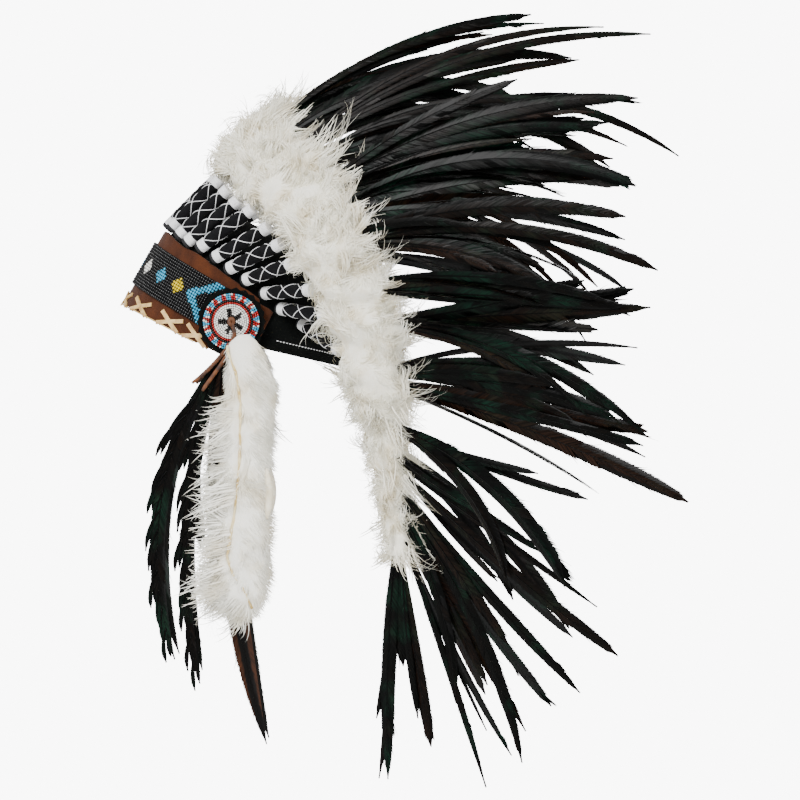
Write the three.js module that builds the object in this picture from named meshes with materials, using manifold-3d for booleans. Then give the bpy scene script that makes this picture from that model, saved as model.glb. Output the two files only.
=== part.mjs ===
// Feathered headdress: a felt skull cap with a suede brow band, beadwork, felt-wrapped quills,
// a ring and two trails of white fluff, long black feathers and a fur drop at each temple.
// Millimetres, +Z up. The wearer faces -X, and the wearer's left is -Y.
// The origin is the middle of the head opening, in the plane of the brow band's lower edge.

import * as THREE from "three";
import { mergeVertices } from "three/addons/utils/BufferGeometryUtils.js";
import Module from "manifold-3d";

const wasm = await Module();
wasm.setup();

// Felt cap
const headLength = 202.8; // outside of the felt, brow to nape
const headWidth = 156.8;
const crownHeight = 120; // above the rim plane
const domePower = 3.6; // how full the crown is, where 2 would be a plain ellipsoid
const feltWall = 2;
const rimTilt = 27.5; // degrees that the brow is tipped up when the headdress is worn
const rimLift = 3; // the felt stops this far above the brow band's lower edge
const napeSlope = 14.5; // degrees that the felt's rim climbs towards the nape
const napeStart = 60; // and how far ahead of the middle it starts to climb
const hemHeight = 12;
const hemFold = 1.6;
const facetsRound = 32;

// Brow band, bead band and edge lacing
const seatGap = 0.3; // between pieces that rest on each other
const bandGap = 1.6; // from the felt to the brow band at its lower edge
const bandWall = 2;
const bandTaper = 0.04; // how much the band's radius falls for each millimetre of height
const bandEnd = 101.25; // degrees round from the brow to each end of the band
const beadWall = 2;
const beadHeight = 41.5;
const beadLift = 21; // lower edge of the beads above the rim plane at the brow
const beadDrop = 8; // and how much lower it ends at the rosettes
const beadEnd = 88;
const laceWidth = 3.6;
const laceThick = 1.2;
const laceSpan = 24; // length of one crossing along the band
const laceRise = 11;
const laceTurns = [9, 32.6, 56.1, 72.5]; // degrees from the brow to each crossing, both sides

// Rosettes and what hangs from them
const rosetteTurn = 84.9; // degrees round from the brow
const rosetteRise = 30.6;
const backingRadius = 31;
const backingWall = 2;
const backingTeeth = 22;
const toothDepth = 2;
const beadDiscRadius = 25.4;
const beadDiscEdge = 1.8;
const beadDiscCrown = 3.2;
const thongWidth = 3.6;
const thongThick = 1.6;
const furLength = 250;
const furWidth = 54;
const furThick = 22;
const dropPlumeLength = 290;
const dropPlumeWidth = 17;
const dropQuillLength = 355;
const dropQuillWidth = 21;

// Wrapped quills, fluff and feathers
const wrapLength = 65;
const wrapRadius = 6.1;
const wrapTip = 3.6; // rounded lower end of a wrap
const fluffLead = 5; // from a wrap's top to the fluff
const wrapSides = 8;
const shaftRadius = 1.7;
const fluffDepth = 95; // along the quills
const fluffOut = 20; // thickness of the fluff on the outer face of the feather fan
const fluffIn = 16; // and on its inner face
const fluffSlot = 3; // half of the slot that the feather shafts lie in
const fluffValley = 0.8; // size of the fluff between two locks
const fluffStart = 0.5; // shares of fluffDepth: where the feathers leave their common shaft
const flareEase = 0.82; // share of a quill's outward flare that is left in the fluff
const trailLength = 140;
const featherLength = 300;
const featherWidth = 15;
const featherThick = 1.6;
const rootPitch = 4.6; // between feathers that leave the same quill

// One row for each quill from the brow to the nape: degrees round the head, height of its lower
// end as a share of crownHeight, degrees that it leans back, degrees that it flares outwards.
const quills = table("turn height lean flare", [
  [5.2, 0.645, 17.5, 3],
  [15.9, 0.651, 17.5, 8],
  [30, 0.624, 19.5, 11],
  [39.3, 0.608, 23.5, 14],
  [49.1, 0.618, 26.5, 18],
  [60.2, 0.606, 33.5, 26],
  [70.1, 0.582, 37.5, 33],
  [80.5, 0.569, 44.5, 42],
  [92, 0.549, 59, 46],
  [102.6, 0.506, 72.5, 46],
  [116.2, 0.488, 97.5, 46],
]);
const sprayQuills = [[0, 1], [2, 3], [4, 5], [6, 7], [8, 9, 10]];

// Crown feathers: the quill that holds each, degrees that it turns up as it leaves the shaft,
// degrees that it droops by its tip, its length and width as shares of featherLength and
// featherWidth, and degrees that its tip is spread further out than the quill's own half flare.
const crownFeathers = {
  left: table("quill rise droop reach width spread", [
    [0, 0, 48, 0.97, 0.6, 1],
    [1, 0, 42, 0.93, 0.75, 2],
    [2, 0, 54, 1.0, 0.9, 3],
    [3, 2, 45, 1.22, 0.6, 0],
    [4, 4, 78, 1.28, 0.6, 6],
    [4, -2, 58, 0.92, 0.85, -3],
    [5, 6, 38, 1.09, 1.05, 4],
    [5, 0, 25, 0.88, 0.8, -5],
    [5, -4, 34, 0.95, 0.8, 0],
    [6, 11, 62, 1.06, 1.1, 4],
    [6, -3, 26, 0.91, 0.9, -4],
    [7, 4, 35, 1.01, 0.9, 5],
    [7, -2, 58, 0.81, 1.0, 0],
    [7, 0, 45, 1.08, 0.8, -5],
    [8, -6, 3, 0.93, 0.9, 2],
    [8, 6, 28, 0.9, 0.7, 6],
    [9, 12, -1, 0.97, 1.3, 2],
    [9, 10, 44, 1.02, 0.9, -4],
    [10, 36, 22, 0.83, 1.1, 2],
    [10, 20, 13, 1.14, 1.2, 0],
    [10, 46, 26, 0.6, 0.7, -4],
  ]),
  right: table("quill rise droop reach width spread", [
    [0, -4, 32, 0.78, 0.5, 1],
    [1, -2, 50, 0.86, 0.7, 2],
    [2, -6, 32, 0.83, 0.6, 3],
    [3, -2, 34, 1.0, 0.7, 0],
    [4, -1, 36, 0.95, 0.8, 2],
    [4, 2, 66, 1.1, 0.6, -4],
    [5, 3, 76, 0.82, 0.7, 4],
    [5, -2, 42, 0.75, 0.7, -4],
    [5, 2, 30, 1.0, 0.9, 0],
    [6, 5, 45, 1.03, 0.9, 4],
    [6, -8, 38, 1.0, 0.8, -4],
    [7, 2, 80, 1.02, 0.8, 4],
    [7, -12, 36, 0.75, 0.8, -5],
    [7, 4, 60, 1.08, 0.5, 0],
    [8, -2, 10, 0.86, 0.9, 2],
    [8, 8, 34, 1.0, 0.7, -4],
    [9, 16, 38, 0.86, 0.9, 3],
    [9, 6, 8, 0.92, 1.0, -3],
    [10, 50, 28, 0.71, 0.7, 3],
    [10, 30, 22, 1.02, 0.8, 0],
    [10, 52, 24, 0.94, 0.5, -5],
  ]),
};

// Trail feathers: the spray that each belongs to, how far down the trail it starts as a share of
// trailLength, degrees below the horizontal that it starts and ends, and shares as above.
const trailFeathers = {
  left: table("spray start from to reach width", [
    [1, 0.16, 18, 64, 0.88, 1.4],
    [1, 0.3, 36, 33, 0.6, 0.6],
    [1, 0.38, 45, 36, 0.93, 0.8],
    [2, 0.5, 52, 45, 0.87, 0.8],
    [2, 0.58, 52, 78, 0.92, 0.9],
    [2, 0.66, 60, 60, 0.79, 0.8],
    [3, 0.77, 70, 73, 0.84, 0.5],
    [3, 0.84, 96, 88, 0.74, 1.0],
    [3, 0.9, 82, 80, 0.62, 0.8],
  ]),
  right: table("spray start from to reach width", [
    [1, 0.18, 24, 16, 0.8, 0.6],
    [1, 0.28, 34, 58, 0.9, 1.1],
    [1, 0.38, 48, 41, 0.83, 0.7],
    [2, 0.5, 50, 66, 0.76, 0.6],
    [2, 0.58, 58, 50, 0.85, 0.8],
    [2, 0.66, 66, 64, 0.67, 0.7],
    [3, 0.78, 70, 58, 0.82, 0.5],
    [3, 0.87, 91, 98, 0.76, 0.6],
  ]),
};

// Sections down a trail of fluff: how far down and how far back of the ring's end as shares of
// trailLength, width as a share of fluffDepth, thickness as a share of the ring's, degrees that
// the width dips below the horizontal, degrees that it flares outwards.
const trailSections = table("down back width thick dip flare", [
  [0, 0, 0.72, 0.9, 35, 38],
  [0.21, 0.05, 0.42, 0.8, 24, 32],
  [0.38, 0.084, 0.34, 0.72, 16, 28],
  [0.58, 0.107, 0.29, 0.62, 11, 24],
  [0.75, 0.129, 0.25, 0.52, 7, 22],
  [0.89, 0.14, 0.19, 0.44, 4, 20],
  [1, 0.146, 0.12, 0.34, 2, 20],
]);
const trailSprays = [[0.1, 0.42], [0.46, 0.72], [0.76, 0.98]]; // each spine's reach down the trail

// Sections down a fur drop: how far down as a share of furLength, its front and back edges as
// shares of furWidth from its hanging line, and its thickness as a share of furThick.
const furSections = table("down front back thick", [
  [0, 0.28, 0.28, 0.36],
  [0.05, 0.34, 0.4, 0.6],
  [0.15, 0.36, 0.62, 0.95],
  [0.24, 0.44, 0.56, 0.85],
  [0.34, 0.44, 0.48, 1],
  [0.44, 0.5, 0.5, 0.88],
  [0.54, 0.48, 0.44, 1],
  [0.64, 0.54, 0.48, 0.88],
  [0.74, 0.54, 0.42, 1],
  [0.84, 0.62, 0.46, 0.86],
  [0.93, 0.6, 0.38, 0.9],
  [1, 0.4, 0.2, 0.5],
]);

// Outline of a feather from its root to its tip: share of its length and share of its full width.
const bladeSections = table("along width", [
  [0, 0.22],
  [0.3, 0.85],
  [0.62, 1],
  [0.87, 0.66],
  [1, 0],
]);

// Routes of the tie thongs from the rosette's middle, chosen by hand: back and down from it.
const thongRoutes = {
  long: [[0, -1], [2, -6], [2.6, -12], [0, -19], [-5.5, -26], [-14, -36], [-24, -46], [-35, -55]],
  short: [[-4.6, -31.2], [-9.5, -39], [-16, -48], [-21.5, -55.5], [-26, -62]],
};

const chipSize = 0.05; // edges shorter than this are dropped from a joined or cut solid
const clearReach = 0.3; // share of a feather's length that the fluff is cut clear of

// Values worked out from the sizes above
const felt = { a: headLength / 2, b: headWidth / 2 };
const band = { a: felt.a + bandGap + bandWall, b: felt.b + bandGap + bandWall };
const tip = new THREE.Matrix4().makeRotationY(radians(rimTilt));
const sideSign = { left: -1, right: 1 };

function table(columns, rows) {
  const names = columns.split(" ");
  return rows.map((row) => Object.fromEntries(names.map((name, i) => [name, row[i]])));
}

function radians(degrees) {
  return (degrees * Math.PI) / 180;
}

// Solids

// A closed body through rings of points. A last ring of one point closes it to a tip.
function loft(rings) {
  const positions = rings.flat().flatMap((p) => [p.x, p.y, p.z]);
  const starts = rings.map((_, i) => rings.slice(0, i).flat().length);
  const index = [];
  rings.slice(1).forEach((ring, i) => {
    const count = rings[i].length;
    for (let j = 0; j < count; j++) {
      const k = (j + 1) % count;
      const [a, b] = [starts[i] + j, starts[i] + k];
      if (ring.length === 1) index.push(a, starts[i + 1], b);
      else index.push(a, starts[i + 1] + j, starts[i + 1] + k, a, starts[i + 1] + k, b);
    }
  });
  index.push(...capOf(rings[0], starts[0], false));
  if (rings.at(-1).length > 1) index.push(...capOf(rings.at(-1), starts.at(-1), true));
  return facingOut(positions, index);
}

function capOf(ring, start, reversed) {
  const normal = new THREE.Vector3();
  ring.forEach((p, i) => normal.add(p.clone().cross(ring[(i + 1) % ring.length])));
  normal.normalize();
  const u = ring[1].clone().sub(ring[0]).normalize();
  const v = normal.clone().cross(u);
  const flat = ring.map((p) => new THREE.Vector2(p.dot(u), p.dot(v)));
  const turn = Math.sign(THREE.ShapeUtils.area(flat)) * (reversed ? -1 : 1);
  return THREE.ShapeUtils.triangulateShape(flat, []).flatMap(([a, b, c]) => {
    const faceTurn = Math.sign(THREE.ShapeUtils.area([flat[a], flat[b], flat[c]]));
    const face = faceTurn === turn ? [a, b, c] : [a, c, b];
    return face.map((k) => k + start);
  });
}

function facingOut(positions, index) {
  const corner = (i) => new THREE.Vector3().fromArray(positions, 3 * index[i]);
  let volume = 0;
  for (let i = 0; i < index.length; i += 3)
    volume += corner(i).dot(corner(i + 1).cross(corner(i + 2)));
  if (volume < 0)
    for (let i = 0; i < index.length; i += 3)
      [index[i + 1], index[i + 2]] = [index[i + 2], index[i + 1]];
  const geometry = new THREE.BufferGeometry();
  geometry.setAttribute("position", new THREE.Float32BufferAttribute(positions, 3));
  geometry.setIndex(index);
  return geometry;
}

function toSolid(geometry) {
  const bare = geometry.clone();
  bare.deleteAttribute("normal");
  bare.deleteAttribute("uv");
  const merged = mergeVertices(bare, 1e-4);
  return new wasm.Manifold(
    new wasm.Mesh({
      numProp: 3,
      vertProperties: new Float32Array(merged.attributes.position.array),
      triVerts: new Uint32Array(merged.index.array),
    }),
  );
}

function toGeometry(solid) {
  const mesh = mainBody(solid.simplify(chipSize)).getMesh();
  const geometry = new THREE.BufferGeometry();
  geometry.setAttribute("position", new THREE.BufferAttribute(mesh.vertProperties, 3));
  geometry.setIndex(new THREE.BufferAttribute(mesh.triVerts, 1));
  return geometry;
}

function fuse(geometries) {
  return geometries.map(toSolid).reduce((all, one) => all.add(one));
}

// The largest body of a cut solid, without the chips that the cut leaves
function mainBody(solid) {
  return solid.decompose().sort((a, b) => b.volume() - a.volume())[0];
}

function piece(name, geometry, material) {
  const mesh = new THREE.Mesh(geometry, material);
  mesh.name = name;
  return mesh;
}

// Head shape, in the frame of the brow band: x runs to the nape, z up from the rim plane

function roundHead(turn, a, b, out = 0) {
  const at = radians(turn);
  const normal = new THREE.Vector3(-Math.cos(at) / a, -Math.sin(at) / b, 0).normalize();
  return new THREE.Vector3(-a * Math.cos(at), -b * Math.sin(at), 0).addScaledVector(normal, out);
}

function domeShare(height) {
  return (1 - Math.min(1, height) ** domePower) ** (1 / domePower);
}

function feltPoint(turn, height, out = 0) {
  const share = domeShare(height / crownHeight);
  return roundHead(turn, felt.a * share, felt.b * share, out).setZ(height);
}

function bandPoint(turn, height, out = 0) {
  return roundHead(turn, band.a, band.b, out - bandTaper * height).setZ(height);
}

function rimHeight(turn) {
  const back = -felt.a * Math.cos(radians(turn));
  return Math.max(rimLift, (back + napeStart) * Math.tan(radians(napeSlope)));
}

// The felt cap: an open dome of even wall, doubled by a folded hem where the band leaves it bare
function crownCap() {
  const turns = Array.from({ length: facetsRound }, (_, i) => (360 * i) / facetsRound);
  const away = (turn) => Math.min(turn, 360 - turn);
  const hem = (turn) => (away(turn) > bandEnd + 360 / facetsRound ? hemFold : 0);
  const ringAt = (share, skin, out) =>
    turns.map((turn) => {
      const rim = rimHeight(turn);
      const top = crownHeight - skin;
      const height = rim + (top - rim) * share;
      const round = domeShare(height / top);
      return roundHead(turn, (felt.a - skin) * round, (felt.b - skin) * round, out(turn)).setZ(height);
    });
  const hemShare = hemHeight / crownHeight;
  const outer = [
    ringAt(0, 0, hem),
    ringAt(hemShare, 0, hem),
    ringAt(hemShare * 1.15, 0, () => 0),
    ...[0.5, 0.75, 0.93].map((share) => ringAt(share, 0, () => 0)),
  ];
  const inner = [0.93, 0.65, 0].map((share) => ringAt(share, feltWall, () => 0));
  const rings = [
    [new THREE.Vector3(0, 0, crownHeight)],
    ...outer.reverse(),
    ...inner.reverse(),
    [new THREE.Vector3(0, 0, crownHeight - feltWall)],
  ];
  return skinOf(rings);
}

// A closed skin whose first and last rings are single points
function skinOf(rings) {
  const positions = rings.flat().flatMap((p) => [p.x, p.y, p.z]);
  const starts = rings.map((_, i) => rings.slice(0, i).flat().length);
  const index = [];
  const count = rings[1].length;
  for (let i = 0; i + 1 < rings.length; i++)
    for (let j = 0; j < count; j++) {
      const k = (j + 1) % count;
      const [a, b] = [starts[i], starts[i + 1]];
      if (rings[i].length === 1) index.push(a, b + j, b + k);
      else if (rings[i + 1].length === 1) index.push(a + j, b, a + k);
      else index.push(a + j, b + j, b + k, a + j, b + k, a + k);
    }
  return facingOut(positions, index);
}

// A wall that follows the brow band between two heights, from one end angle to the other
function bandStrip(end, low, high, inner, outer) {
  const step = 360 / facetsRound;
  const count = Math.floor(end / step - 1e-6);
  const grid = Array.from({ length: 2 * count + 1 }, (_, i) => (i - count) * step);
  return loft(
    [-end, ...grid, end].map((turn) => [
      bandPoint(turn, low(turn), inner),
      bandPoint(turn, low(turn), outer),
      bandPoint(turn, high(turn), outer),
      bandPoint(turn, high(turn), inner),
    ]),
  );
}

// Height that the brow band may reach under the wrapped quills
function bandTop(turn) {
  const away = Math.abs(turn);
  const under = quills.map((quill) => ({
    turn: quill.turn,
    height: quill.height * crownHeight - wrapRadius * Math.sin(radians(quill.lean)) - seatGap,
  }));
  const next = under.findIndex((row) => row.turn >= away);
  if (next <= 0) return under[next === 0 ? 0 : under.length - 1].height;
  const [from, to] = [under[next - 1], under[next]];
  const share = (away - from.turn) / (to.turn - from.turn);
  return Math.min(from.height, to.height, from.height + (to.height - from.height) * share);
}

function beadLow(turn) {
  return beadLift - (beadDrop * Math.abs(turn)) / beadEnd;
}

// Crossings of a flat lace on the face of the brow band, joined by its run under the edge
function edgeLacing() {
  const out = 2 * seatGap;
  const under = -seatGap - laceThick;
  const cross = (turn) => {
    const degree = bandPoint(turn, 0).distanceTo(bandPoint(turn + 1, 0));
    const low = under + laceThick / 3;
    const middle = (laceRise + low) / 2;
    const [wide, tall] = [laceSpan / 2, (laceRise - low) / 2];
    const slope = Math.atan2(tall, wide);
    const [edgeX, edgeZ] = [laceWidth * Math.sin(slope), laceWidth * Math.cos(slope)].map((v) => v / 2);
    const [waistX, waistZ] = [laceWidth / 2 / Math.sin(slope), laceWidth / 2 / Math.cos(slope)];
    const quarter = [[wide + edgeX, tall - edgeZ], [wide - edgeX, tall + edgeZ], [0, waistZ]];
    const outline = [
      ...quarter,
      ...[...quarter.slice(0, 2)].reverse().map(([x, z]) => [-x, z]),
      [-waistX, 0],
      ...quarter.slice(0, 2).map(([x, z]) => [-x, -z]),
      [0, -waistZ],
      ...[...quarter.slice(0, 2)].reverse().map(([x, z]) => [x, -z]),
      [waistX, 0],
    ];
    const face = (lift) => outline.map(([x, z]) => bandPoint(turn + x / degree, middle + z, lift));
    return loft([face(out), face(out + laceThick)]);
  };
  const turns = [...laceTurns, ...laceTurns.map((turn) => -turn)];
  const end = Math.max(...laceTurns);
  const run = bandStrip(end, () => under, () => -seatGap, -bandWall / 2, out + laceThick / 2);
  return fuse([run, ...turns.map(cross)]);
}

// Wrapped quills

// Where one quill sits: its lower end, the ways its wrap and its fluff run, and its wrap's top
function seatOf(quill, side) {
  const lean = radians(quill.lean);
  const flare = radians(quill.flare);
  const out = wrapRadius * Math.cos(flare) + 2 * seatGap;
  const low = feltPoint(quill.turn, quill.height * crownHeight, out);
  const aim = (spread) =>
    new THREE.Vector3(
      Math.cos(spread) * Math.sin(lean),
      -Math.sin(spread),
      Math.cos(spread) * Math.cos(lean),
    );
  const seat = { low, wrap: aim(flare), fluff: aim(flare * flareEase) };
  for (const vector of Object.values(seat)) {
    vector.y *= -sideSign[side];
    vector.applyMatrix4(tip);
  }
  seat.top = seat.low.clone().addScaledVector(seat.wrap, wrapLength);
  return seat;
}

function quillWrap(seat) {
  const profile = [
    [0, 0],
    [wrapRadius * 0.72, 0],
    [wrapRadius, wrapTip],
    [wrapRadius * 0.94, wrapLength],
    [0, wrapLength],
  ].map(([x, y]) => new THREE.Vector2(x, y));
  const geometry = new THREE.LatheGeometry(profile, wrapSides);
  const turn = new THREE.Quaternion().setFromUnitVectors(new THREE.Vector3(0, 1, 0), seat.wrap);
  return { geometry, turn, place: seat.low };
}

// The whole row of quills, from the last on the right over the brow to the last on the left
const seats = {
  left: quills.map((quill) => seatOf(quill, "left")),
  right: quills.map((quill) => seatOf(quill, "right")),
};
const row = [...seats.right].reverse().concat(seats.left);

// Frames of the fluff along that row, with one more between each two quills and one past each end
function fluffFrames() {
  const between = (a, b, share) => ({
    top: a.top.clone().lerp(b.top, share),
    fluff: a.fluff.clone().lerp(b.fluff, share).normalize(),
  });
  const frames = [];
  row.forEach((seat, i) => {
    frames.push({ top: seat.top.clone(), fluff: seat.fluff.clone(), size: 1 });
    if (i + 1 < row.length) frames.push({ ...between(seat, row[i + 1], 0.5), size: fluffValley });
  });
  frames.unshift({ ...between(row[0], row[1], -0.5), size: 0.95 });
  frames.push({ ...between(row.at(-1), row.at(-2), -0.5), size: 0.95 });
  frames.forEach((frame, i) => {
    const before = frames[Math.max(0, i - 1)];
    const after = frames[Math.min(frames.length - 1, i + 1)];
    const middle = (f) => f.top.clone().addScaledVector(f.fluff, fluffDepth / 2);
    frame.along = middle(after).sub(middle(before)).normalize();
    frame.out = frame.along.clone().cross(frame.fluff).normalize();
    if (frame.out.x > 0) frame.out.negate();
  });
  return frames;
}
const frames = fluffFrames();
const quillFrame = (side, i) => frames[side === "left" ? frames.length - 22 + 2 * i : 21 - 2 * i];

function fluffPoint(frame, depth, out) {
  return frame.top.clone().addScaledVector(frame.fluff, depth).addScaledVector(frame.out, out);
}

// One face of the fluff ring, or the solid block that joins both faces past the last quill
function fluffFace(frame, thick, sign) {
  const [depth, full] = [fluffDepth * frame.size, thick * frame.size];
  return [
    fluffPoint(frame, fluffLead, sign * fluffSlot),
    fluffPoint(frame, fluffDepth * 0.22, sign * full),
    fluffPoint(frame, depth * 0.74, sign * full * 0.8),
    fluffPoint(frame, depth, sign * fluffSlot),
  ];
}

function plumeRing(clearance) {
  const outer = loft(frames.map((frame) => fluffFace(frame, fluffOut, 1)));
  const inner = loft(frames.map((frame) => fluffFace(frame, fluffIn, -1)));
  const block = (end, next) => {
    const from = { ...end, top: end.top.clone().lerp(next.top, 0.35) };
    return loft(
      [from, end].map((frame) => [
        ...fluffFace(frame, fluffOut * 0.9, 1),
        ...fluffFace(frame, fluffIn * 0.9, -1).reverse(),
      ]),
    );
  };
  const ends = [block(frames[0], frames[1]), block(frames.at(-1), frames.at(-2))];
  return mainBody(fuse([outer, inner, ...ends]).subtract(clearance));
}

// Feathers

// A way given by degrees above the horizontal in the side view and degrees of outward spread
function heading(angle, spread, side) {
  const [up, out] = [radians(angle), radians(spread)];
  const level = Math.cos(out);
  return new THREE.Vector3(
    level * Math.cos(up),
    sideSign[side] * Math.sin(out),
    level * Math.sin(up),
  );
}

// Points and ways along a feather that turns evenly from its first heading to its last
function featherLine(start, from, to, length, side) {
  const steps = 24;
  const place = start.clone();
  const line = [];
  for (let i = 0; i <= steps; i++) {
    const share = i / steps;
    const angle = from.angle + (to.angle - from.angle) * share;
    const spread = from.spread + (to.spread - from.spread) * share;
    const way = heading(angle, spread, side);
    line.push({ place: place.clone(), way });
    place.addScaledVector(way, length / steps);
  }
  return (share) => line[Math.round(share * steps)];
}

// A flat feather along its line, thickest on the shaft, with its face turned to a given way
function blade(line, width, face, extra = 0, reach = 1) {
  const rows = bladeSections.filter((row) => row.along <= reach);
  return loft(
    rows.map((row) => {
      const { place, way } = line(row.along);
      if (row.width === 0) return [place.clone()];
      const across = way.clone().cross(face).normalize();
      const up = across.clone().cross(way).normalize();
      const bare = Math.max(shaftRadius * (1 - row.along), (width * row.width) / 2);
      const half = bare * (1 + extra) + extra;
      const thick = (shaftRadius * (1 - row.along) + featherThick * row.along) / 2 + extra;
      return [[half, -thick], [0, 2 * thick], [-half, -thick]].map(([side, lift]) =>
        place.clone().addScaledVector(across, side).addScaledVector(up, lift),
      );
    }),
  );
}

// A straight rod of square section between two points
function rod(from, to, radius, face) {
  const way = to.clone().sub(from).normalize();
  const across = way.clone().cross(face).normalize();
  const up = across.clone().cross(way).normalize();
  return loft(
    [from, to].map((place) =>
      [[1, 1], [-1, 1], [-1, -1], [1, -1]].map(([x, y]) =>
        place
          .clone()
          .addScaledVector(across, x * radius * 0.8)
          .addScaledVector(up, y * radius * 0.8),
      ),
    ),
  );
}

// Feathers of one quill, from the one that turns up most, each with its place across the shaft
function feathersOf(quill, side) {
  const held = crownFeathers[side].filter((feather) => feather.quill === quill);
  held.sort((a, b) => b.rise - a.rise);
  return held.map((feather, i) => ({ ...feather, across: (i - (held.length - 1) / 2) * rootPitch }));
}

function rootPoint(quill, side, across) {
  const seat = seats[side][quill];
  const down = quillFrame(side, quill).along.clone();
  if (down.z > 0) down.negate();
  return seat.top
    .clone()
    .addScaledVector(seat.fluff, fluffDepth * fluffStart)
    .addScaledVector(down, across);
}

function crownFeatherLine(feather, side) {
  const quill = quills[feather.quill];
  const start = rootPoint(feather.quill, side, feather.across);
  const angle = 90 - rimTilt - quill.lean + feather.rise;
  const spread = quill.flare * flareEase;
  const from = { angle, spread };
  const to = { angle: angle - feather.droop, spread: quill.flare / 2 + feather.spread };
  return featherLine(start, from, to, featherLength * feather.reach, side);
}

// The face of a crown feather: that of the fan there, turned partly to the side
function crownFace(feather, side) {
  const out = quillFrame(side, feather.quill).out;
  return out.clone().add(new THREE.Vector3(0, sideSign[side], 0)).normalize();
}

function crownSpray(held, side, extra = 0, reach = 1) {
  const solids = held.flatMap((i) => {
    const seat = seats[side][i];
    const face = quillFrame(side, i).out;
    const from = seat.top.clone().addScaledVector(seat.fluff, 2 * seatGap);
    const feathers = feathersOf(i, side);
    const to = rootPoint(i, side, 0).addScaledVector(seat.fluff, shaftRadius);
    const parts = [rod(from, to, shaftRadius + extra, face)];
    if (feathers.length > 1) {
      const ends = [feathers[0], feathers.at(-1)].map((f) => rootPoint(i, side, f.across * 1.2));
      parts.push(rod(...ends, shaftRadius + extra, face));
    }
    feathers.forEach((feather) => {
      const line = crownFeatherLine(feather, side);
      parts.push(blade(line, featherWidth * feather.width, crownFace(feather, side), extra, reach));
    });
    return parts;
  });
  held.slice(1).forEach((i) => {
    const lacing = [i - 1, i].map((k) => {
      const seat = seats[side][k];
      return seat.top.clone().addScaledVector(seat.fluff, fluffLead + 2 * shaftRadius);
    });
    solids.push(rod(...lacing, shaftRadius + extra, quillFrame(side, i).out));
  });
  return fuse(solids);
}

// Trails of fluff

// The solid end of the fluff ring that a trail hangs on from
function ringEnd(side) {
  const end = frames[side === "left" ? frames.length - 1 : 0];
  const next = frames[side === "left" ? frames.length - 2 : 1];
  const past = end.fluff.clone().cross(end.out).normalize();
  if (past.dot(end.top.clone().sub(next.top)) < 0) past.negate();
  const middle = fluffPoint(end, (fluffDepth * end.size) / 2, 0).addScaledVector(past, 2 * seatGap);
  return { middle, across: end.fluff, out: end.out };
}

function trailFrame(side, share) {
  const from = ringEnd(side);
  const next = Math.max(1, trailSections.findIndex((row) => row.down >= share));
  const [a, b] = [trailSections[next - 1], trailSections[next]];
  const part = (share - a.down) / (b.down - a.down);
  const mix = (name) => a[name] + (b[name] - a[name]) * part;
  const hang = new THREE.Vector3(trailLength * mix("back"), 0, -trailLength * share);
  const across = heading(-mix("dip"), mix("flare"), side);
  const out = new THREE.Vector3(0, 0, -1).cross(across).normalize();
  if (out.y * sideSign[side] < 0) out.negate();
  const settled = Math.min(1, share / trailSections[2].down);
  return {
    place: from.middle.clone().add(hang),
    across: from.across.clone().lerp(across, settled).normalize(),
    out: from.out.clone().lerp(out, settled).normalize(),
    width: fluffDepth * mix("width"),
    thick: mix("thick"),
  };
}

const slotDepth = 0.1; // share of a trail's width from its middle to the floor of its slot

function plumeTrail(side, clearance) {
  const steps = 10;
  const rings = Array.from({ length: steps + 1 }, (_, i) => {
    const frame = trailFrame(side, i / steps);
    const size = i % 2 ? 0.86 : 1;
    const at = (across, out) =>
      frame.place
        .clone()
        .addScaledVector(frame.across, across * frame.width * (across > 0 ? size : 1))
        .addScaledVector(frame.out, out);
    const [front, back] = [fluffOut * frame.thick * size, fluffIn * frame.thick * size];
    return [
      at(-0.5, front * 0.4),
      at(-0.15, front),
      at(0.25, front * 0.8),
      at(0.5, fluffSlot),
      at(-slotDepth, fluffSlot),
      at(-slotDepth, -fluffSlot),
      at(0.5, -fluffSlot),
      at(0.25, -back * 0.8),
      at(-0.15, -back),
      at(-0.5, -back * 0.4),
    ];
  });
  return mainBody(toSolid(loft(rings)).subtract(clearance));
}

function spinePoint(side, share) {
  const frame = trailFrame(side, share);
  return frame.place
    .clone()
    .addScaledVector(frame.across, -slotDepth * frame.width + shaftRadius + 2 * seatGap);
}

function trailSpray(number, side, extra = 0, reach = 1) {
  const [top, bottom] = trailSprays[number - 1];
  const stops = [top, (2 * top + bottom) / 3, (top + 2 * bottom) / 3, bottom];
  const solids = stops.slice(1).map((stop, i) => {
    const face = trailFrame(side, stop).out;
    return rod(spinePoint(side, stops[i]), spinePoint(side, stop), shaftRadius + extra, face);
  });
  const feathers = trailFeathers[side].filter((feather) => feather.spray === number);
  feathers.forEach((feather) => {
    const frame = trailFrame(side, feather.start);
    const way = heading(-feather.from, 0, side);
    const spread = (Math.atan2(-frame.out.dot(way), frame.out.y * sideSign[side]) * 180) / Math.PI;
    const from = { angle: -feather.from, spread };
    const to = { angle: -feather.to, spread: spread / 2 };
    const length = featherLength * feather.reach;
    const line = featherLine(spinePoint(side, feather.start), from, to, length, side);
    solids.push(blade(line, featherWidth * feather.width, frame.out, extra, reach));
  });
  return fuse(solids);
}

// Rosettes and what hangs from them, each placed by how far it lies out from the middle plane

const rosette = bandPoint(rosetteTurn, rosetteRise).applyMatrix4(tip);
const beadFace = -bandPoint(rosetteTurn, 0, seatGap + beadWall).y;
const backingIn = beadFace + seatGap;
const discIn = backingIn + backingWall + seatGap;
const thongIn = discIn + beadDiscCrown + seatGap;
const furIn = thongIn + thongThick + seatGap;

function sidePoint(back, up, out, side) {
  return new THREE.Vector3(rosette.x + back, sideSign[side] * out, rosette.z + up);
}

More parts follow.
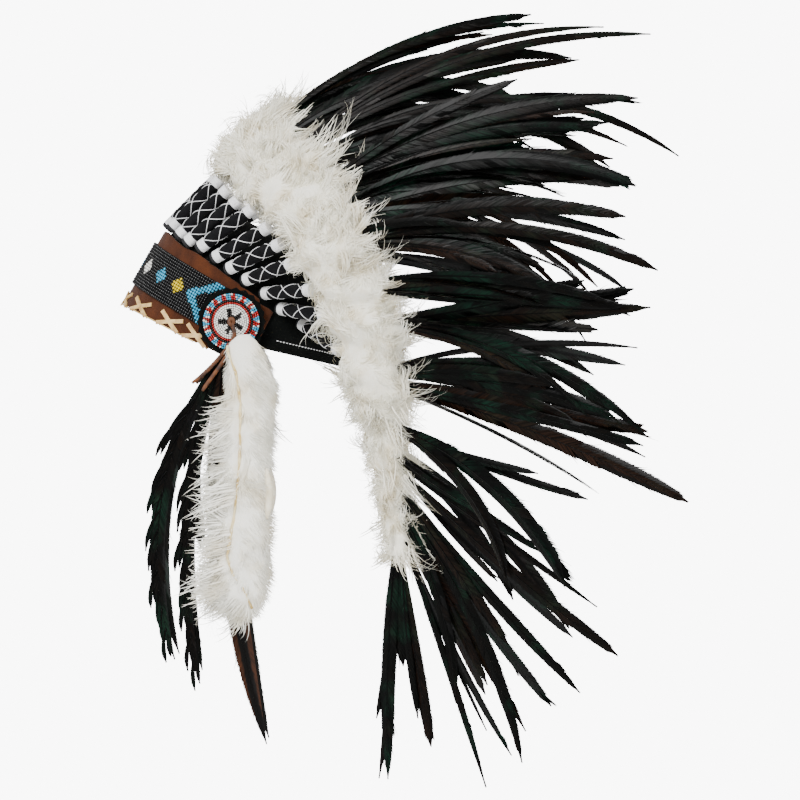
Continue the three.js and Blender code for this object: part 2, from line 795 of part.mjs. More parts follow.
function rosetteBacking() {
  const outline = new THREE.Shape();
  for (let i = 0; i < 2 * backingTeeth; i++) {
    const at = (Math.PI * i) / backingTeeth;
    const radius = backingRadius - (i % 2 ? toothDepth : 0);
    outline[i ? "lineTo" : "moveTo"](radius * Math.cos(at), radius * Math.sin(at));
  }
  return new THREE.ExtrudeGeometry(outline, { depth: backingWall, bevelEnabled: false });
}

function rosetteBeads() {
  const profile = [
    [0, 0],
    [beadDiscRadius, 0],
    [beadDiscRadius, beadDiscEdge],
    [0, beadDiscCrown],
  ].map(([x, y]) => new THREE.Vector2(x, y));
  return new THREE.LatheGeometry(profile, 24).rotateX(Math.PI / 2);
}

function thong(route, side) {
  const points = route.map(([back, up]) => sidePoint(back, up, thongIn + thongThick / 2, side));
  const curve = new THREE.CatmullRomCurve3(points);
  const section = new THREE.Shape();
  section.absellipse(0, 0, thongThick / 2, thongWidth / 2, 0, 2 * Math.PI);
  const steps = Math.round(curve.getLength() / (2.6 * thongWidth));
  return new THREE.ExtrudeGeometry(section, { steps, extrudePath: curve, curveSegments: 4 });
}

const furBack = 11; // the fur drop hangs this far behind the rosette's middle
const furTop = -14;
const furOutline = [
  [-1, 0],
  [-0.6, 1],
  [0.3, 1],
  [0.85, 0.6],
  [1, 0],
  [0.85, -0.6],
  [0.3, -1],
  [-0.6, -1],
];

function furDrop(side) {
  const rings = furSections.map((row) => {
    const deep = (furThick * row.thick) / 2;
    return furOutline.map(([x, y]) => {
      const back = x < 0 ? x * row.front * furWidth : x * row.back * furWidth;
      return sidePoint(furBack + back, furTop - furLength * row.down, furIn + deep * (1 + y), side);
    });
  });
  return loft(rings);
}

function dropFeather(side, root, headings, length, width, extra) {
  const start = sidePoint(...root, side);
  const line = featherLine(start, headings[0], headings[1], length, side);
  return blade(line, width, new THREE.Vector3(0, sideSign[side], 0), extra);
}

function dropPlume(side) {
  const root = [-6, -27.5, discIn + shaftRadius * 0.6];
  const long = dropFeather(
    side,
    root,
    [{ angle: -124, spread: 0 }, { angle: -72, spread: 3 }],
    dropPlumeLength,
    dropPlumeWidth,
  );
  const short = dropFeather(
    side,
    root,
    [{ angle: -113, spread: 0 }, { angle: -76, spread: 9 }],
    dropPlumeLength,
    dropPlumeWidth * 0.55,
  );
  return fuse([long, short]);
}

function dropQuill(side) {
  const root = [4, -27.5, discIn + shaftRadius / 2];
  const ways = [{ angle: -97, spread: -1 }, { angle: -73, spread: -1 }];
  return dropFeather(side, root, ways, dropQuillLength, dropQuillWidth);
}

// Materials
const finish = (color, roughness) => new THREE.MeshStandardMaterial({ color, roughness, metalness: 0 });
const blackFelt = finish(0x141817, 0.95);
const brownSuede = finish(0x5a3320, 0.9);
const blackBeads = finish(0x15151a, 0.3);
const tanLeather = finish(0xe0c996, 0.8);
const bluebeads = finish(0x7ec8dc, 0.3);
const brownLeather = finish(0x8a5228, 0.8);
const whiteFur = finish(0xf2eee2, 0.95);
const whiteFluff = finish(0xe8e6dc, 1);
const charcoalFelt = finish(0x2a2a2c, 0.95);
const blackFeather = finish(0x101312, 0.5);
const stripedFeather = finish(0x4a2e22, 0.6);

// Assembly
const headdress = new THREE.Group();
const tipped = new THREE.Group(); // pieces made in the brow band's own frame
tipped.rotation.y = radians(rimTilt);
headdress.add(tipped);

tipped.add(piece("crown_cap", crownCap(), blackFelt));
const browBand = bandStrip(bandEnd, () => 0, bandTop, -bandWall, 0);
tipped.add(piece("brow_band", browBand, brownSuede));
const beadBand = bandStrip(
  beadEnd,
  beadLow,
  (turn) => beadLow(turn) + beadHeight,
  seatGap,
  seatGap + beadWall,
);
tipped.add(piece("bead_band", beadBand, blackBeads));
tipped.add(piece("edge_lacing", toGeometry(edgeLacing()), tanLeather));

const crownClearances = [];
for (const side of ["right", "left"]) {
  seats[side].forEach((seat, i) => {
    const wrap = quillWrap(seat);
    const name = `quill_wrap_${side}_${String(i + 1).padStart(2, "0")}`;
    const mesh = piece(name, wrap.geometry, charcoalFelt);
    mesh.position.copy(wrap.place);
    mesh.quaternion.copy(wrap.turn);
    headdress.add(mesh);
  });

  sprayQuills.forEach((held, i) => {
    const name = `crown_spray_${side}_${i + 1}`;
    headdress.add(piece(name, toGeometry(crownSpray(held, side)), blackFeather));
    crownClearances.push(crownSpray(held, side, seatGap, clearReach));
  });

  const trailClearances = [1, 2, 3].map((number) => {
    const name = `trail_spray_${side}_${number}`;
    headdress.add(piece(name, toGeometry(trailSpray(number, side)), blackFeather));
    return trailSpray(number, side, seatGap, clearReach);
  });
  const clear = trailClearances.reduce((all, one) => all.add(one));
  headdress.add(piece(`plume_trail_${side}`, toGeometry(plumeTrail(side, clear)), whiteFluff));

  const backing = piece(`rosette_backing_${side}`, rosetteBacking(), blackFelt);
  const beads = piece(`rosette_beads_${side}`, rosetteBeads(), bluebeads);
  backing.rotation.x = beads.rotation.x = (-sideSign[side] * Math.PI) / 2;
  backing.position.copy(sidePoint(0, 0, backingIn, side));
  beads.position.copy(sidePoint(0, 0, discIn, side));
  headdress.add(backing, beads);

  for (const [name, route] of Object.entries(thongRoutes))
    headdress.add(piece(`tie_thong_${side}_${name}`, thong(route, side), brownLeather));
  headdress.add(piece(`fur_drop_${side}`, furDrop(side), whiteFur));
  headdress.add(piece(`drop_plume_${side}`, toGeometry(dropPlume(side)), blackFeather));
  headdress.add(piece(`drop_quill_${side}`, dropQuill(side), stripedFeather));
}
const crownClearance = crownClearances.reduce((all, one) => all.add(one));
headdress.add(piece("plume_ring", toGeometry(plumeRing(crownClearance)), whiteFluff));

export default headdress;
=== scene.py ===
import math

import bpy
import numpy as np
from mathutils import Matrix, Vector, noise


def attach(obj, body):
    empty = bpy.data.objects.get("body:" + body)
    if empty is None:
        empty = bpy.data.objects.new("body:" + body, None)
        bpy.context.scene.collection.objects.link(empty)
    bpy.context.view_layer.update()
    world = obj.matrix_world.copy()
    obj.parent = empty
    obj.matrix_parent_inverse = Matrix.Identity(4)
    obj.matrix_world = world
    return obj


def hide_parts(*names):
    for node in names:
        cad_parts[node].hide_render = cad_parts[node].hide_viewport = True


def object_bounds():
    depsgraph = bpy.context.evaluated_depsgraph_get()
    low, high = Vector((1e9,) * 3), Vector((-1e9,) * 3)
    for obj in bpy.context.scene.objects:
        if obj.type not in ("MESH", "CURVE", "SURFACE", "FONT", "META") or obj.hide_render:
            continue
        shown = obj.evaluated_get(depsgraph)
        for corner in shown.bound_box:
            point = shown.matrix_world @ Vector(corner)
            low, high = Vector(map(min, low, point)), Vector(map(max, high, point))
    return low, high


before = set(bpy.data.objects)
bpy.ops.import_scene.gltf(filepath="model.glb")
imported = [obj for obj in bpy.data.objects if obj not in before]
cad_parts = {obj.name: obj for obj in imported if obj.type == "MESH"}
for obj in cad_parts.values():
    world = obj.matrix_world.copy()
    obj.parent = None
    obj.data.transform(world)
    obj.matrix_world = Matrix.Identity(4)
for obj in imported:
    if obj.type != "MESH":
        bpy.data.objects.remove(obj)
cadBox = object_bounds()
mm = 0.001
sideSign = {"left": -1, "right": 1}
sides = ("left", "right")


def linked(name, data):
    thing = bpy.data.objects.new(name, data)
    bpy.context.scene.collection.objects.link(thing)
    return thing


# Camera: square on to the wearer's left, through a long lens
view = {"x": 0.157, "z": -0.0387, "y": -0.04, "away": 9.0, "wide": 0.72, "sensor": 36}
camera = linked("sideCamera", bpy.data.cameras.new("sideCamera"))
camera.data.sensor_width = view["sensor"]
camera.data.lens = view["sensor"] * view["away"] / view["wide"]
camera.data.clip_end = 50
camera.location = (view["x"], view["y"] - view["away"], view["z"])
camera.rotation_euler = (math.pi / 2, 0, 0)
bpy.context.scene.camera = camera


# Node trees and materials


def hexColor(code):
    channels = [int(code[i : i + 2], 16) / 255 for i in (1, 3, 5)]
    linear = [c / 12.92 if c <= 0.04045 else ((c + 0.055) / 1.055) ** 2.4 for c in channels]
    return (*linear, 1.0)


def feed(node, inputs):
    # plain values, or other nodes' outputs, into a node's inputs
    for name, value in inputs.items():
        if isinstance(value, bpy.types.NodeSocket):
            node.id_data.links.new(value, node.inputs[name])
        else:
            node.inputs[name].default_value = value


def addNode(tree, kind, settings=None, inputs=None):
    node = tree.nodes.new(kind)
    for name, value in (settings or {}).items():
        setattr(node, name, value)
    feed(node, inputs or {})
    return node


def compute(tree, operation, *values):
    return addNode(tree, "ShaderNodeMath", {"operation": operation}, dict(enumerate(values))).outputs[0]


def attribute(tree, name, output="Fac"):
    return addNode(tree, "ShaderNodeAttribute", {"attribute_name": name}).outputs[output]


def grain(tree, place, size, detail=2.0, stretch=None):
    # noise whose grains are about this many millimetres across
    if stretch:
        place = addNode(tree, "ShaderNodeMapping", None, {"Vector": place, "Scale": stretch}).outputs[0]
    inputs = {"Vector": place, "Scale": 1 / (size * mm), "Detail": detail}
    return addNode(tree, "ShaderNodeTexNoise", None, inputs).outputs["Fac"]


def blendColors(tree, factor, first, second, low=0.35, high=0.65):
    ramp = addNode(tree, "ShaderNodeValToRGB", None, {"Fac": factor})
    for end, position, color in ((0, low, first), (1, high, second)):
        ramp.color_ramp.elements[end].position = position
        ramp.color_ramp.elements[end].color = hexColor(color)
    return ramp.outputs["Color"]


def mixColor(tree, factor, first, second, blend="MIX"):
    settings = {"data_type": "RGBA", "blend_type": blend}
    return addNode(tree, "ShaderNodeMix", settings, {0: factor, 6: first, 7: second}).outputs[2]


def newMaterial(name):
    material = bpy.data.materials.new(name)
    material.use_nodes = True
    tree = material.node_tree
    return material, tree, addNode(tree, "ShaderNodeTexCoord").outputs["Object"]


def shaded(material, color, height, depth, strength, values):
    # gives the shader its colour, a bump this many millimetres deep and its plain values
    tree = material.node_tree
    inputs = {"Height": height, "Distance": depth * mm, "Strength": strength}
    normal = addNode(tree, "ShaderNodeBump", None, inputs).outputs["Normal"]
    feed(tree.nodes["Principled BSDF"], {"Base Color": color, "Normal": normal, **values})
    return material


def feltMaterial(name, dark, light):
    # pressed wool felt: matt, mottled, with a short nap that catches a soft rim of light
    material, tree, place = newMaterial(name)
    mottle = blendColors(tree, grain(tree, place, 7, 4), dark, light)
    fibre = grain(tree, place, 0.9, 5)  # real fibres are finer than the render shows
    values = {"Roughness": 0.95, "Sheen Weight": 0.03, "Specular IOR Level": 0.06}
    return shaded(material, mixColor(tree, fibre, mottle, hexColor(light)), fibre, 0.5, 0.7, values)


def suedeMaterial(name):
    # napped suede: brushed lighter and darker in patches, with a fine velvet grain
    material, tree, place = newMaterial(name)
    brushed = blendColors(tree, grain(tree, place, 14, 5, (1, 1, 0.5)), "#331808", "#552c12")
    nap = grain(tree, place, 0.7, 4)
    color = mixColor(tree, 0.45, brushed, blendColors(tree, nap, "#291207", "#4c220c"))
    values = {"Roughness": 0.88, "Sheen Weight": 0.12, "Specular IOR Level": 0.15}
    return shaded(material, color, nap, 0.4, 0.6, values)


def leatherMaterial(name, dark, light, rough):
    # smooth tanned lace leather: fine creases and paler worn patches
    material, tree, place = newMaterial(name)
    color = blendColors(tree, grain(tree, place, 6, 3), dark, light)
    return shaded(material, color, grain(tree, place, 1.2, 6), 0.3, 0.5, {"Roughness": rough})


def beadMaterial(name):
    # opaque glass seed beads: each has its own colour, a sharp gloss and a slightly uneven skin
    material, tree, place = newMaterial(name)
    shade = blendColors(tree, grain(tree, place, 3, 2), "#c8c8c8", "#ffffff", 0.3, 0.6)
    color = mixColor(tree, 1.0, attribute(tree, "tint", "Color"), shade, "MULTIPLY")
    return shaded(material, color, grain(tree, place, 1.1, 1), 0.08, 0.4, {"Roughness": 0.18, "IOR": 1.52})


def threadMaterial(name, dark, light):
    # plied cotton thread, slightly fuzzy
    material, tree, place = newMaterial(name)
    ply = grain(tree, place, 0.8, 3)
    return shaded(material, blendColors(tree, ply, dark, light), ply, 0.25, 0.6, {"Roughness": 0.85})


def downMaterial(name, shadow, light, patchSize):
    # loose down or hair: white, with painted shade: a warmer shadow colour laid by noise in patches and along
    # the fibres
    material, tree, place = newMaterial(name)
    patch = blendColors(tree, grain(tree, place, patchSize, 3), shadow, light, 0.3, 0.52)
    fibre = grain(tree, place, 1.1, 5)
    color = mixColor(tree, 0.3, patch, blendColors(tree, fibre, shadow, light))
    return shaded(material, color, fibre, 0.6, 0.6, {"Roughness": 0.8, "Sheen Weight": 0.3})


def vanePlaces(tree):
    # the place across a feather, the place along it and the distance from its shaft
    uv = addNode(tree, "ShaderNodeUVMap", {"uv_map": "UVMap"}).outputs["UV"]
    parts = addNode(tree, "ShaderNodeSeparateXYZ", None, {"Vector": uv}).outputs
    return parts["X"], parts["Y"], compute(tree, "ABSOLUTE", parts["X"])


def barbStreaks(tree, pitch):
    # fine ridges that leave the shaft at a slant, from a UV map in millimetres
    across, reach, aside = vanePlaces(tree)
    slant = compute(tree, "MULTIPLY_ADD", aside, -1.7, reach)
    place = addNode(tree, "ShaderNodeCombineXYZ", None, {"X": slant, "Y": across}).outputs[0]
    return grain(tree, place, 1 / mm, 3.0, (1 / pitch, 0.03, 1))


def featherMaterial(name, black, sheen, brown):
    # feather keratin: black with a painted green sheen laid into the base colour, brown where a feather is
    # faded
    material, tree, place = newMaterial(name)
    streak = barbStreaks(tree, 2.2)
    # painted sheen: patches of the sheen colour mixed into the black base colour by noise
    gloss = blendColors(tree, grain(tree, place, 34, 3), black, sheen, 0.48, 0.72)
    faded = blendColors(tree, streak, black, brown, 0.35, 0.62)
    shade = blendColors(tree, attribute(tree, "shade"), "#4c4c4c", "#ffffff", 0.0, 1.0)
    color = mixColor(tree, 1.0, mixColor(tree, attribute(tree, "tone"), gloss, faded), shade, "MULTIPLY")
    return shaded(material, color, streak, 0.5, 0.6, {"Roughness": 0.34, "Specular IOR Level": 0.085})


def stripedMaterial(name):
    # a striped wing feather: brown edges that turn black beside the shaft
    material, tree, place = newMaterial(name)
    wave = compute(tree, "MULTIPLY_ADD", grain(tree, place, 11, 2), 4.0, vanePlaces(tree)[2])
    bands = addNode(tree, "ShaderNodeMapRange", None, {"Value": wave, "From Min": 5.0, "From Max": 6.5})
    streak = barbStreaks(tree, 2.2)
    color = blendColors(tree, bands.outputs["Result"], "#060403", "#3c2010", 0.0, 1.0)
    shade = blendColors(tree, streak, "#707070", "#ffffff", 0.3, 0.6)
    color = mixColor(tree, 1.0, color, shade, "MULTIPLY")
    return shaded(material, color, streak, 0.4, 0.5, {"Roughness": 0.5, "Specular IOR Level": 0.12})


def plainMaterial(name, color, rough):
    # a smooth painted backdrop, the same all over
    material, tree, place = newMaterial(name)
    even = blendColors(tree, grain(tree, place, 300, 2), color, color)
    feed(tree.nodes["Principled BSDF"], {"Base Color": even, "Roughness": rough})
    return material


materials = {
    "capFelt": feltMaterial("blackWoolFelt", "#030404", "#0a0c0b"),
    "wrapFelt": feltMaterial("charcoalWoolFelt", "#070708", "#141416"),
    "suede": suedeMaterial("nappedSuede"),
    "lace": leatherMaterial("tannedTanLace", "#b48a4e", "#e2c080", 0.6),
    "thong": leatherMaterial("oiledBrownThong", "#331908", "#6b3a12", 0.65),
    "bead": beadMaterial("opaqueGlassBeads"),
    "beadCloth": feltMaterial("blackBeadBacking", "#050506", "#0c0c0e"),
    "whiteThread": threadMaterial("whiteCottonThread", "#d2d2d6", "#ffffff"),
    "darkTape": threadMaterial("blackWaxedTape", "#08080a", "#1c1c20"),
    # the first colour of the down and the fur is their painted shadow colour
    "fluff": downMaterial("whiteHackleFluff", "#e3d7b9", "#fffdf0", 20),
    "fur": downMaterial("longWhiteFur", "#efe6cf", "#fffef6", 26),
    "hide": leatherMaterial("paleTannedHide", "#c9aa66", "#ecdcae", 0.8),
    "bareHide": leatherMaterial("whiteTawedHide", "#e4d7b8", "#f8f0da", 0.85),
    # the second colour of each feather material is its painted sheen
    "feather": featherMaterial("blackHackleFeather", "#030403", "#0b2a1e", "#341f14"),
    "shaft": featherMaterial("darkFeatherShaft", "#0b0806", "#1c120c", "#3a2416"),
    "striped": stripedMaterial("stripedWingFeather"),
}


# Meshes


def meshObject(name, points, faces, material, smooth=True):
    mesh = bpy.data.meshes.new(name)
    mesh.from_pydata((np.asarray(points) * mm).tolist(), [], faces)
    mesh.materials.append(material)
    mesh.shade_smooth() if smooth else mesh.shade_flat()
    mesh.update()
    return linked(name, mesh)


def surface(grid, closedRound=True, caps=True):
    # faces of a grid of points, rows along it and columns round it, with its normals outwards
    rows, columns = grid.shape[:2]
    points = grid.reshape(-1, 3)
    faces = []
    for i in range(0, (rows - 1) * columns, columns):
        for j in range(columns if closedRound else columns - 1):
            k = (j + 1) % columns
            faces.append((i + j, i + k, i + columns + k, i + columns + j))
    if closedRound and caps:
        faces.append(tuple(range(columns - 1, -1, -1)))
        faces.append(tuple((rows - 1) * columns + j for j in range(columns)))
    if closedRound and signedVolume(points, faces) < 0:
        faces = [tuple(reversed(face)) for face in faces]
    return points, faces


def signedVolume(points, faces):
    total = 0.0
    for face in faces:
        for i in range(1, len(face) - 1):
            total += points[face[0]] @ np.cross(points[face[i]], points[face[i + 1]])
    return total


def joined(parts):
    # one list of points and faces from several
    points, faces, start = [], [], 0
    for somePoints, someFaces in parts:
        points.append(np.asarray(somePoints))
        faces += [tuple(i + start for i in face) for face in someFaces]
        start += len(somePoints)
    return np.vstack(points), faces


def unit(vectors):
    vectors = np.asarray(vectors, float)
    return vectors / np.maximum(np.linalg.norm(vectors, axis=-1, keepdims=True), 1e-9)


def tube(line, radii, count=4):
    # a round tube along a line of points, tapered by its radii
    line = np.asarray(line, float)
    way = unit(np.gradient(line, axis=0))
    aside = unit(np.cross(way, [0.31, 0.9, 0.29]))
    third = np.cross(way, aside)
    turns = np.arange(count) * 2 * math.pi / count
    round_ = aside[:, None] * np.cos(turns)[None, :, None] + third[:, None] * np.sin(turns)[None, :, None]
    return surface(line[:, None] + round_ * np.asarray(radii)[:, None, None])


def place(thing, slot, nodes=()):
    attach(thing, "root")
    if nodes:
        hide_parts(*nodes)
    return thing


def eulers(xAxis, yAxis, zAxis):
    return np.stack([
        np.arctan2(yAxis[:, 2], zAxis[:, 2]), np.arcsin(np.clip(-xAxis[:, 2], -1, 1)),
        np.arctan2(xAxis[:, 1], xAxis[:, 0]),
    ], axis=1)


# Geometry Nodes: one tree sets copies on marked points, the other grows strands on a skin


def groupTree(name, sockets):
    tree = bpy.data.node_groups.new(name, "GeometryNodeTree")
    given = {"Geometry": "Geometry", "Copy": "Object", "Material": "Material", **sockets, "Seed": "Int"}
    for title, kind in given.items():
        tree.interface.new_socket(title, in_out="INPUT", socket_type="NodeSocket" + kind)
    tree.interface.new_socket("Geometry", in_out="OUTPUT", socket_type="NodeSocketGeometry")
    return tree, addNode(tree, "NodeGroupInput").outputs


def endTree(tree, given, points, turn, size):
    # sets the copies on the points, makes them real and gives them their material
    copy = addNode(tree, "GeometryNodeObjectInfo", None, {"Object": given["Copy"], "As Instance": True})
    instances = addNode(tree, "GeometryNodeInstanceOnPoints", None, {
        "Points": points, "Instance": copy.outputs["Geometry"], "Rotation": turn, "Scale": size,
    })
    real = addNode(tree, "GeometryNodeRealizeInstances", None, {"Geometry": instances.outputs[0]})
    inputs = {"Geometry": real.outputs[0], "Material": given["Material"]}
    painted = addNode(tree, "GeometryNodeSetMaterial", None, inputs)
    addNode(tree, "NodeGroupOutput", None, {"Geometry": painted.outputs[0]})
    return tree


def namedField(tree, name, kind="FLOAT_VECTOR"):
    return addNode(tree, "GeometryNodeInputNamedAttribute", {"data_type": kind}, {"Name": name}).outputs[0]


def randomBetween(tree, low, high, seed):
    inputs = {2: low, 3: high, "Seed": seed}
    return addNode(tree, "FunctionNodeRandomValue", {"data_type": "FLOAT"}, inputs).outputs[1]


def scaled(tree, vector, size):
    inputs = {0: vector, "Scale": size}
    return addNode(tree, "ShaderNodeVectorMath", {"operation": "SCALE"}, inputs).outputs[0]


def copiesTree():
    tree, given = groupTree("copiesOnMarks", {"Least Size": "Float", "Most Size": "Float"})
    size = randomBetween(tree, given["Least Size"], given["Most Size"], given["Seed"])
    stretch = scaled(tree, namedField(tree, "stretch"), size)
    return endTree(tree, given, given["Geometry"], namedField(tree, "turn"), stretch)


def strandsTree():
    numbers = ("Per Square Metre", "Shortest", "Longest", "Lift", "Mess", "Width")
    tree, given = groupTree("strandsOnSkin", dict.fromkeys(numbers, "Float"))
    cover = namedField(tree, "cover", "FLOAT")
    spread = addNode(tree, "GeometryNodeDistributePointsOnFaces", None, {
        "Mesh": given["Geometry"], "Seed": given["Seed"],
        "Density": compute(tree, "MULTIPLY", cover, given["Per Square Metre"]),
    }).outputs
    stray = addNode(tree, "FunctionNodeRandomValue", {"data_type": "FLOAT_VECTOR"}, {
        0: (-1, -1, -1), 1: (1, 1, 1), "Seed": given["Seed"],
    }).outputs[0]
    way = scaled(tree, spread["Normal"], given["Lift"])
    for push in (scaled(tree, stray, given["Mess"]), namedField(tree, "flow")):
        way = addNode(tree, "ShaderNodeVectorMath", {"operation": "ADD"}, {0: way, 1: push}).outputs[0]
    aim = addNode(tree, "FunctionNodeAlignRotationToVector", {"axis": "Z"}, {"Vector": way}).outputs[0]
    roll = addNode(tree, "ShaderNodeCombineXYZ", None, {
        "Z": randomBetween(tree, -0.9, 0.9, given["Seed"]),
    }).outputs[0]
    turned = addNode(tree, "FunctionNodeRotateRotation", {"rotation_space": "LOCAL"}, {
        "Rotation": aim, "Rotate By": roll,
    }).outputs[0]
    length = randomBetween(tree, given["Shortest"], given["Longest"], given["Seed"])
    inputs = {"X": given["Width"], "Y": length, "Z": length}
    size = addNode(tree, "ShaderNodeCombineXYZ", None, inputs).outputs[0]
    return endTree(tree, given, spread["Points"], turned, size)


trees = {"copies": copiesTree(), "strands": strandsTree()}


def grown(name, base, kind, values):
    # the named tree run on a mesh, as one plain mesh
    modifier = base.modifiers.new("grow", "NODES")
    modifier.node_group = trees[kind]
    for item in trees[kind].interface.items_tree:
        if item.in_out == "INPUT" and item.name in values:
            modifier[item.identifier] = values[item.name]
    scene = bpy.context.evaluated_depsgraph_get()
    mesh = bpy.data.meshes.new_from_object(
        base.evaluated_get(scene), preserve_all_data_layers=True, depsgraph=scene
    )
    base.modifiers.remove(modifier)
    mesh.name = name
    mesh.shade_smooth()
    print("  ", name, len(mesh.polygons), "faces")
    return linked(name, mesh)


def setField(mesh, name, values):
    # a value, a vector or a colour for every point of a mesh
    values = np.asarray(values, np.float32)
    kinds = {(): ("FLOAT", "value"), (3,): ("FLOAT_VECTOR", "vector"), (4,): ("FLOAT_COLOR", "color")}
    kind, key = kinds[values.shape[1:]]
    field = mesh.attributes.get(name) or mesh.attributes.new(name, kind, "POINT")
    field.data.foreach_set(key, values.ravel())


def marks(points, turn, stretch, **fields):
    # points that copies are set on, with the turn, the stretch and the own values of each
    mesh = bpy.data.meshes.new("marks")
    mesh.from_pydata((np.asarray(points) * mm).tolist(), [], [])
    for name, values in {"turn": turn, "stretch": stretch, **fields}.items():
        setField(mesh, name, values)
    return linked("marks", mesh)


def withdraw(*things):
    for thing in things:
        bpy.data.objects.remove(thing)


def setCopies(name, base, copy, material, least, most, seed):
    thing = grown(name, base, "copies", {
        "Copy": copy, "Material": materials[material], "Least Size": least, "Most Size": most, "Seed": seed,
    })
    withdraw(base)
    return thing


def repaint(node, material):
    # a solid of the frame that shows as it is
    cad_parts[node].data.materials.clear()
    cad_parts[node].data.materials.append(materials[material])


# The head's shape in the brow band's own frame, tipped back as it is worn

head = {
    "length": 202.8, "width": 156.8, "crown": 120, "power": 3.6, "felt": 2, "tilt": 27.5,
    "rimLift": 3, "napeSlope": 14.5, "napeStart": 60, "hem": 12, "hemFold": 1.6,
    "bandGap": 1.6, "bandWall": 2, "bandTaper": 0.04, "bandEnd": 101.25,
}
feltA, feltB = head["length"] / 2, head["width"] / 2
bandA = feltA + head["bandGap"] + head["bandWall"]
bandB = feltB + head["bandGap"] + head["bandWall"]


def tipped(points):
    turn = math.radians(head["tilt"])
    x, y, z = np.moveaxis(np.asarray(points, float), -1, 0)
    return np.stack(
        [x * math.cos(turn) + z * math.sin(turn), y, z * math.cos(turn) - x * math.sin(turn)], axis=-1
    )


def roundHead(turn, a, b, out, height):
    at = np.radians(turn)
    normal = unit(np.stack([-np.cos(at) / a, -np.sin(at) / b, 0 * at], axis=-1))
    flat = np.stack([-a * np.cos(at), -b * np.sin(at), 0 * at], axis=-1)
    points = flat + normal * np.asarray(out)[..., None]
    points[..., 2] = height
    return points


def domeShare(share):
    return np.power(1 - np.power(np.clip(share, 0, 1), head["power"]), 1 / head["power"])


def feltPoint(turn, height, out=0.0):
    turn, height = np.broadcast_arrays(np.asarray(turn, float), np.asarray(height, float))
    share = np.maximum(domeShare(height / head["crown"]), 1e-4)
    return roundHead(turn, feltA * share, feltB * share, np.zeros_like(turn) + out, height)


def bandPoint(turn, height, out=0.0):
    turn, height = np.broadcast_arrays(np.asarray(turn, float), np.asarray(height, float))
    lean = out - head["bandTaper"] * height
    return roundHead(turn, bandA + 0 * turn, bandB + 0 * turn, lean, height)


# Where the layers lie at the temples: bead face, felt backing, beaded disc, thong, fur

layers = {"turn": 84.9, "height": 30.6, "bead": 2.3, "felt": 2, "crown": 3.2, "gap": 0.3}
rosette = tipped(bandPoint(layers["turn"], layers["height"]))
beadFace = -float(bandPoint(layers["turn"], 0.0, layers["bead"])[1])
discIn = beadFace + layers["felt"] + 2 * layers["gap"]
thongIn = discIn + layers["crown"] + layers["gap"]


def sidePoint(back, up, out, side):
    return np.array([rosette[0] + back, sideSign[side] * out, rosette[2] + up])


def outward(side):
    return np.array([0, sideSign[side], 0])


def columnsAt(table, share):
    # a table's row at this share, which its first column holds
    return [np.interp(share, table[:, 0], table[:, i]) for i in range(1, table.shape[1])]


def arcLength(line):
    return np.concatenate([[0], np.cumsum(np.linalg.norm(np.diff(line, axis=0), axis=1))])


# Tie thongs: flat leather tails that hang from the knot in the middle of each rosette

thongs = {
    "wide": 3.6, "thick": 1.6,
    "long": [(0, -1), (2, -6), (2.6, -12), (0, -19), (-5.5, -26), (-14, -36), (-24, -46), (-35, -55)],
    "short": [(-4.6, -31.2), (-9.5, -39), (-16, -48), (-21.5, -55.5), (-26, -62)],
}
furIn = thongIn + thongs["thick"] + layers["gap"]


def smoothLine(points, count):
    # a curve through the points, as the solids have it
    points = np.asarray(points, float)
    ends = np.vstack([2 * points[0] - points[1], points, 2 * points[-1] - points[-2]])
    line = []
    for share in np.linspace(0, len(points) - 1, count):
        i = min(int(share), len(points) - 2)
        t = share - i
        a, b, c, d = ends[i : i + 4]
        square, cube = 2 * a - 5 * b + 4 * c - d, 3 * b - a - 3 * c + d
        line.append(0.5 * (2 * b + (c - a) * t + square * t**2 + cube * t**3))
    return np.array(line)


def makeThong(side, name):
    route = [sidePoint(back, up, thongIn + thongs["thick"] / 2, side) for back, up in thongs[name]]
    line = smoothLine(route, 28)
    way = unit(np.gradient(line, axis=0))
    out = outward(side)
    across = unit(np.cross(way, out))
    taper = np.interp(np.linspace(0, 1, 28), [0, 0.85, 1], [1, 1, 0.7])
    turns = np.arange(10) * math.pi / 5
    grid = np.array([
        [p + a * math.cos(t) * s * thongs["wide"] / 2 + out * math.sin(t) * thongs["thick"] / 2 for t in turns]
        for p, a, s in zip(line, across, taper)
    ])
    thing = meshObject(f"thong_{side}_{name}", *surface(grid), materials["thong"])
    place(thing, "brown_leather", [f"tie_thong_{side}_{name}"])


def makeKnot(side):
    # the knot that the thong is tied in, on the middle of the beads
    knot = {"back": 1.9, "up": 2.6, "lift": 1.1, "wave": 0.8, "wide": 1.9, "thick": 1.2}
    ring = np.array([
        sidePoint(
            knot["back"] * math.cos(t), knot["up"] * math.sin(t),
            thongIn + knot["lift"] + knot["wave"] * math.sin(2 * t), side,
        )
        for t in np.linspace(0, 2 * math.pi, 17)[:-1]
    ])
    grid = []
    for i, p in enumerate(ring):
        out = outward(side)
        across = unit(np.cross(unit(ring[(i + 1) % 16] - ring[i - 1]), out))
        grid.append([
            p + across * knot["wide"] * math.cos(t) + out * knot["thick"] * math.sin(t)
            for t in np.arange(8) * math.pi / 4
        ])
    points, faces = surface(np.array(grid + grid[:1]), True, False)
    place(meshObject(f"thong_knot_{side}", points, faces, materials["thong"]), "brown_leather")


for side in sides:
    makeThong(side, "long")
    makeThong(side, "short")
    makeKnot(side)
print("thongs done")

# Felt cap with a folded hem and its stitches


def rimHeight(turn):
    # the rim lies level with the bands and rises towards the nape
    back = -feltA * np.cos(np.radians(turn))
    return np.maximum(head["rimLift"], (back + head["napeStart"]) * math.tan(math.radians(head["napeSlope"])))


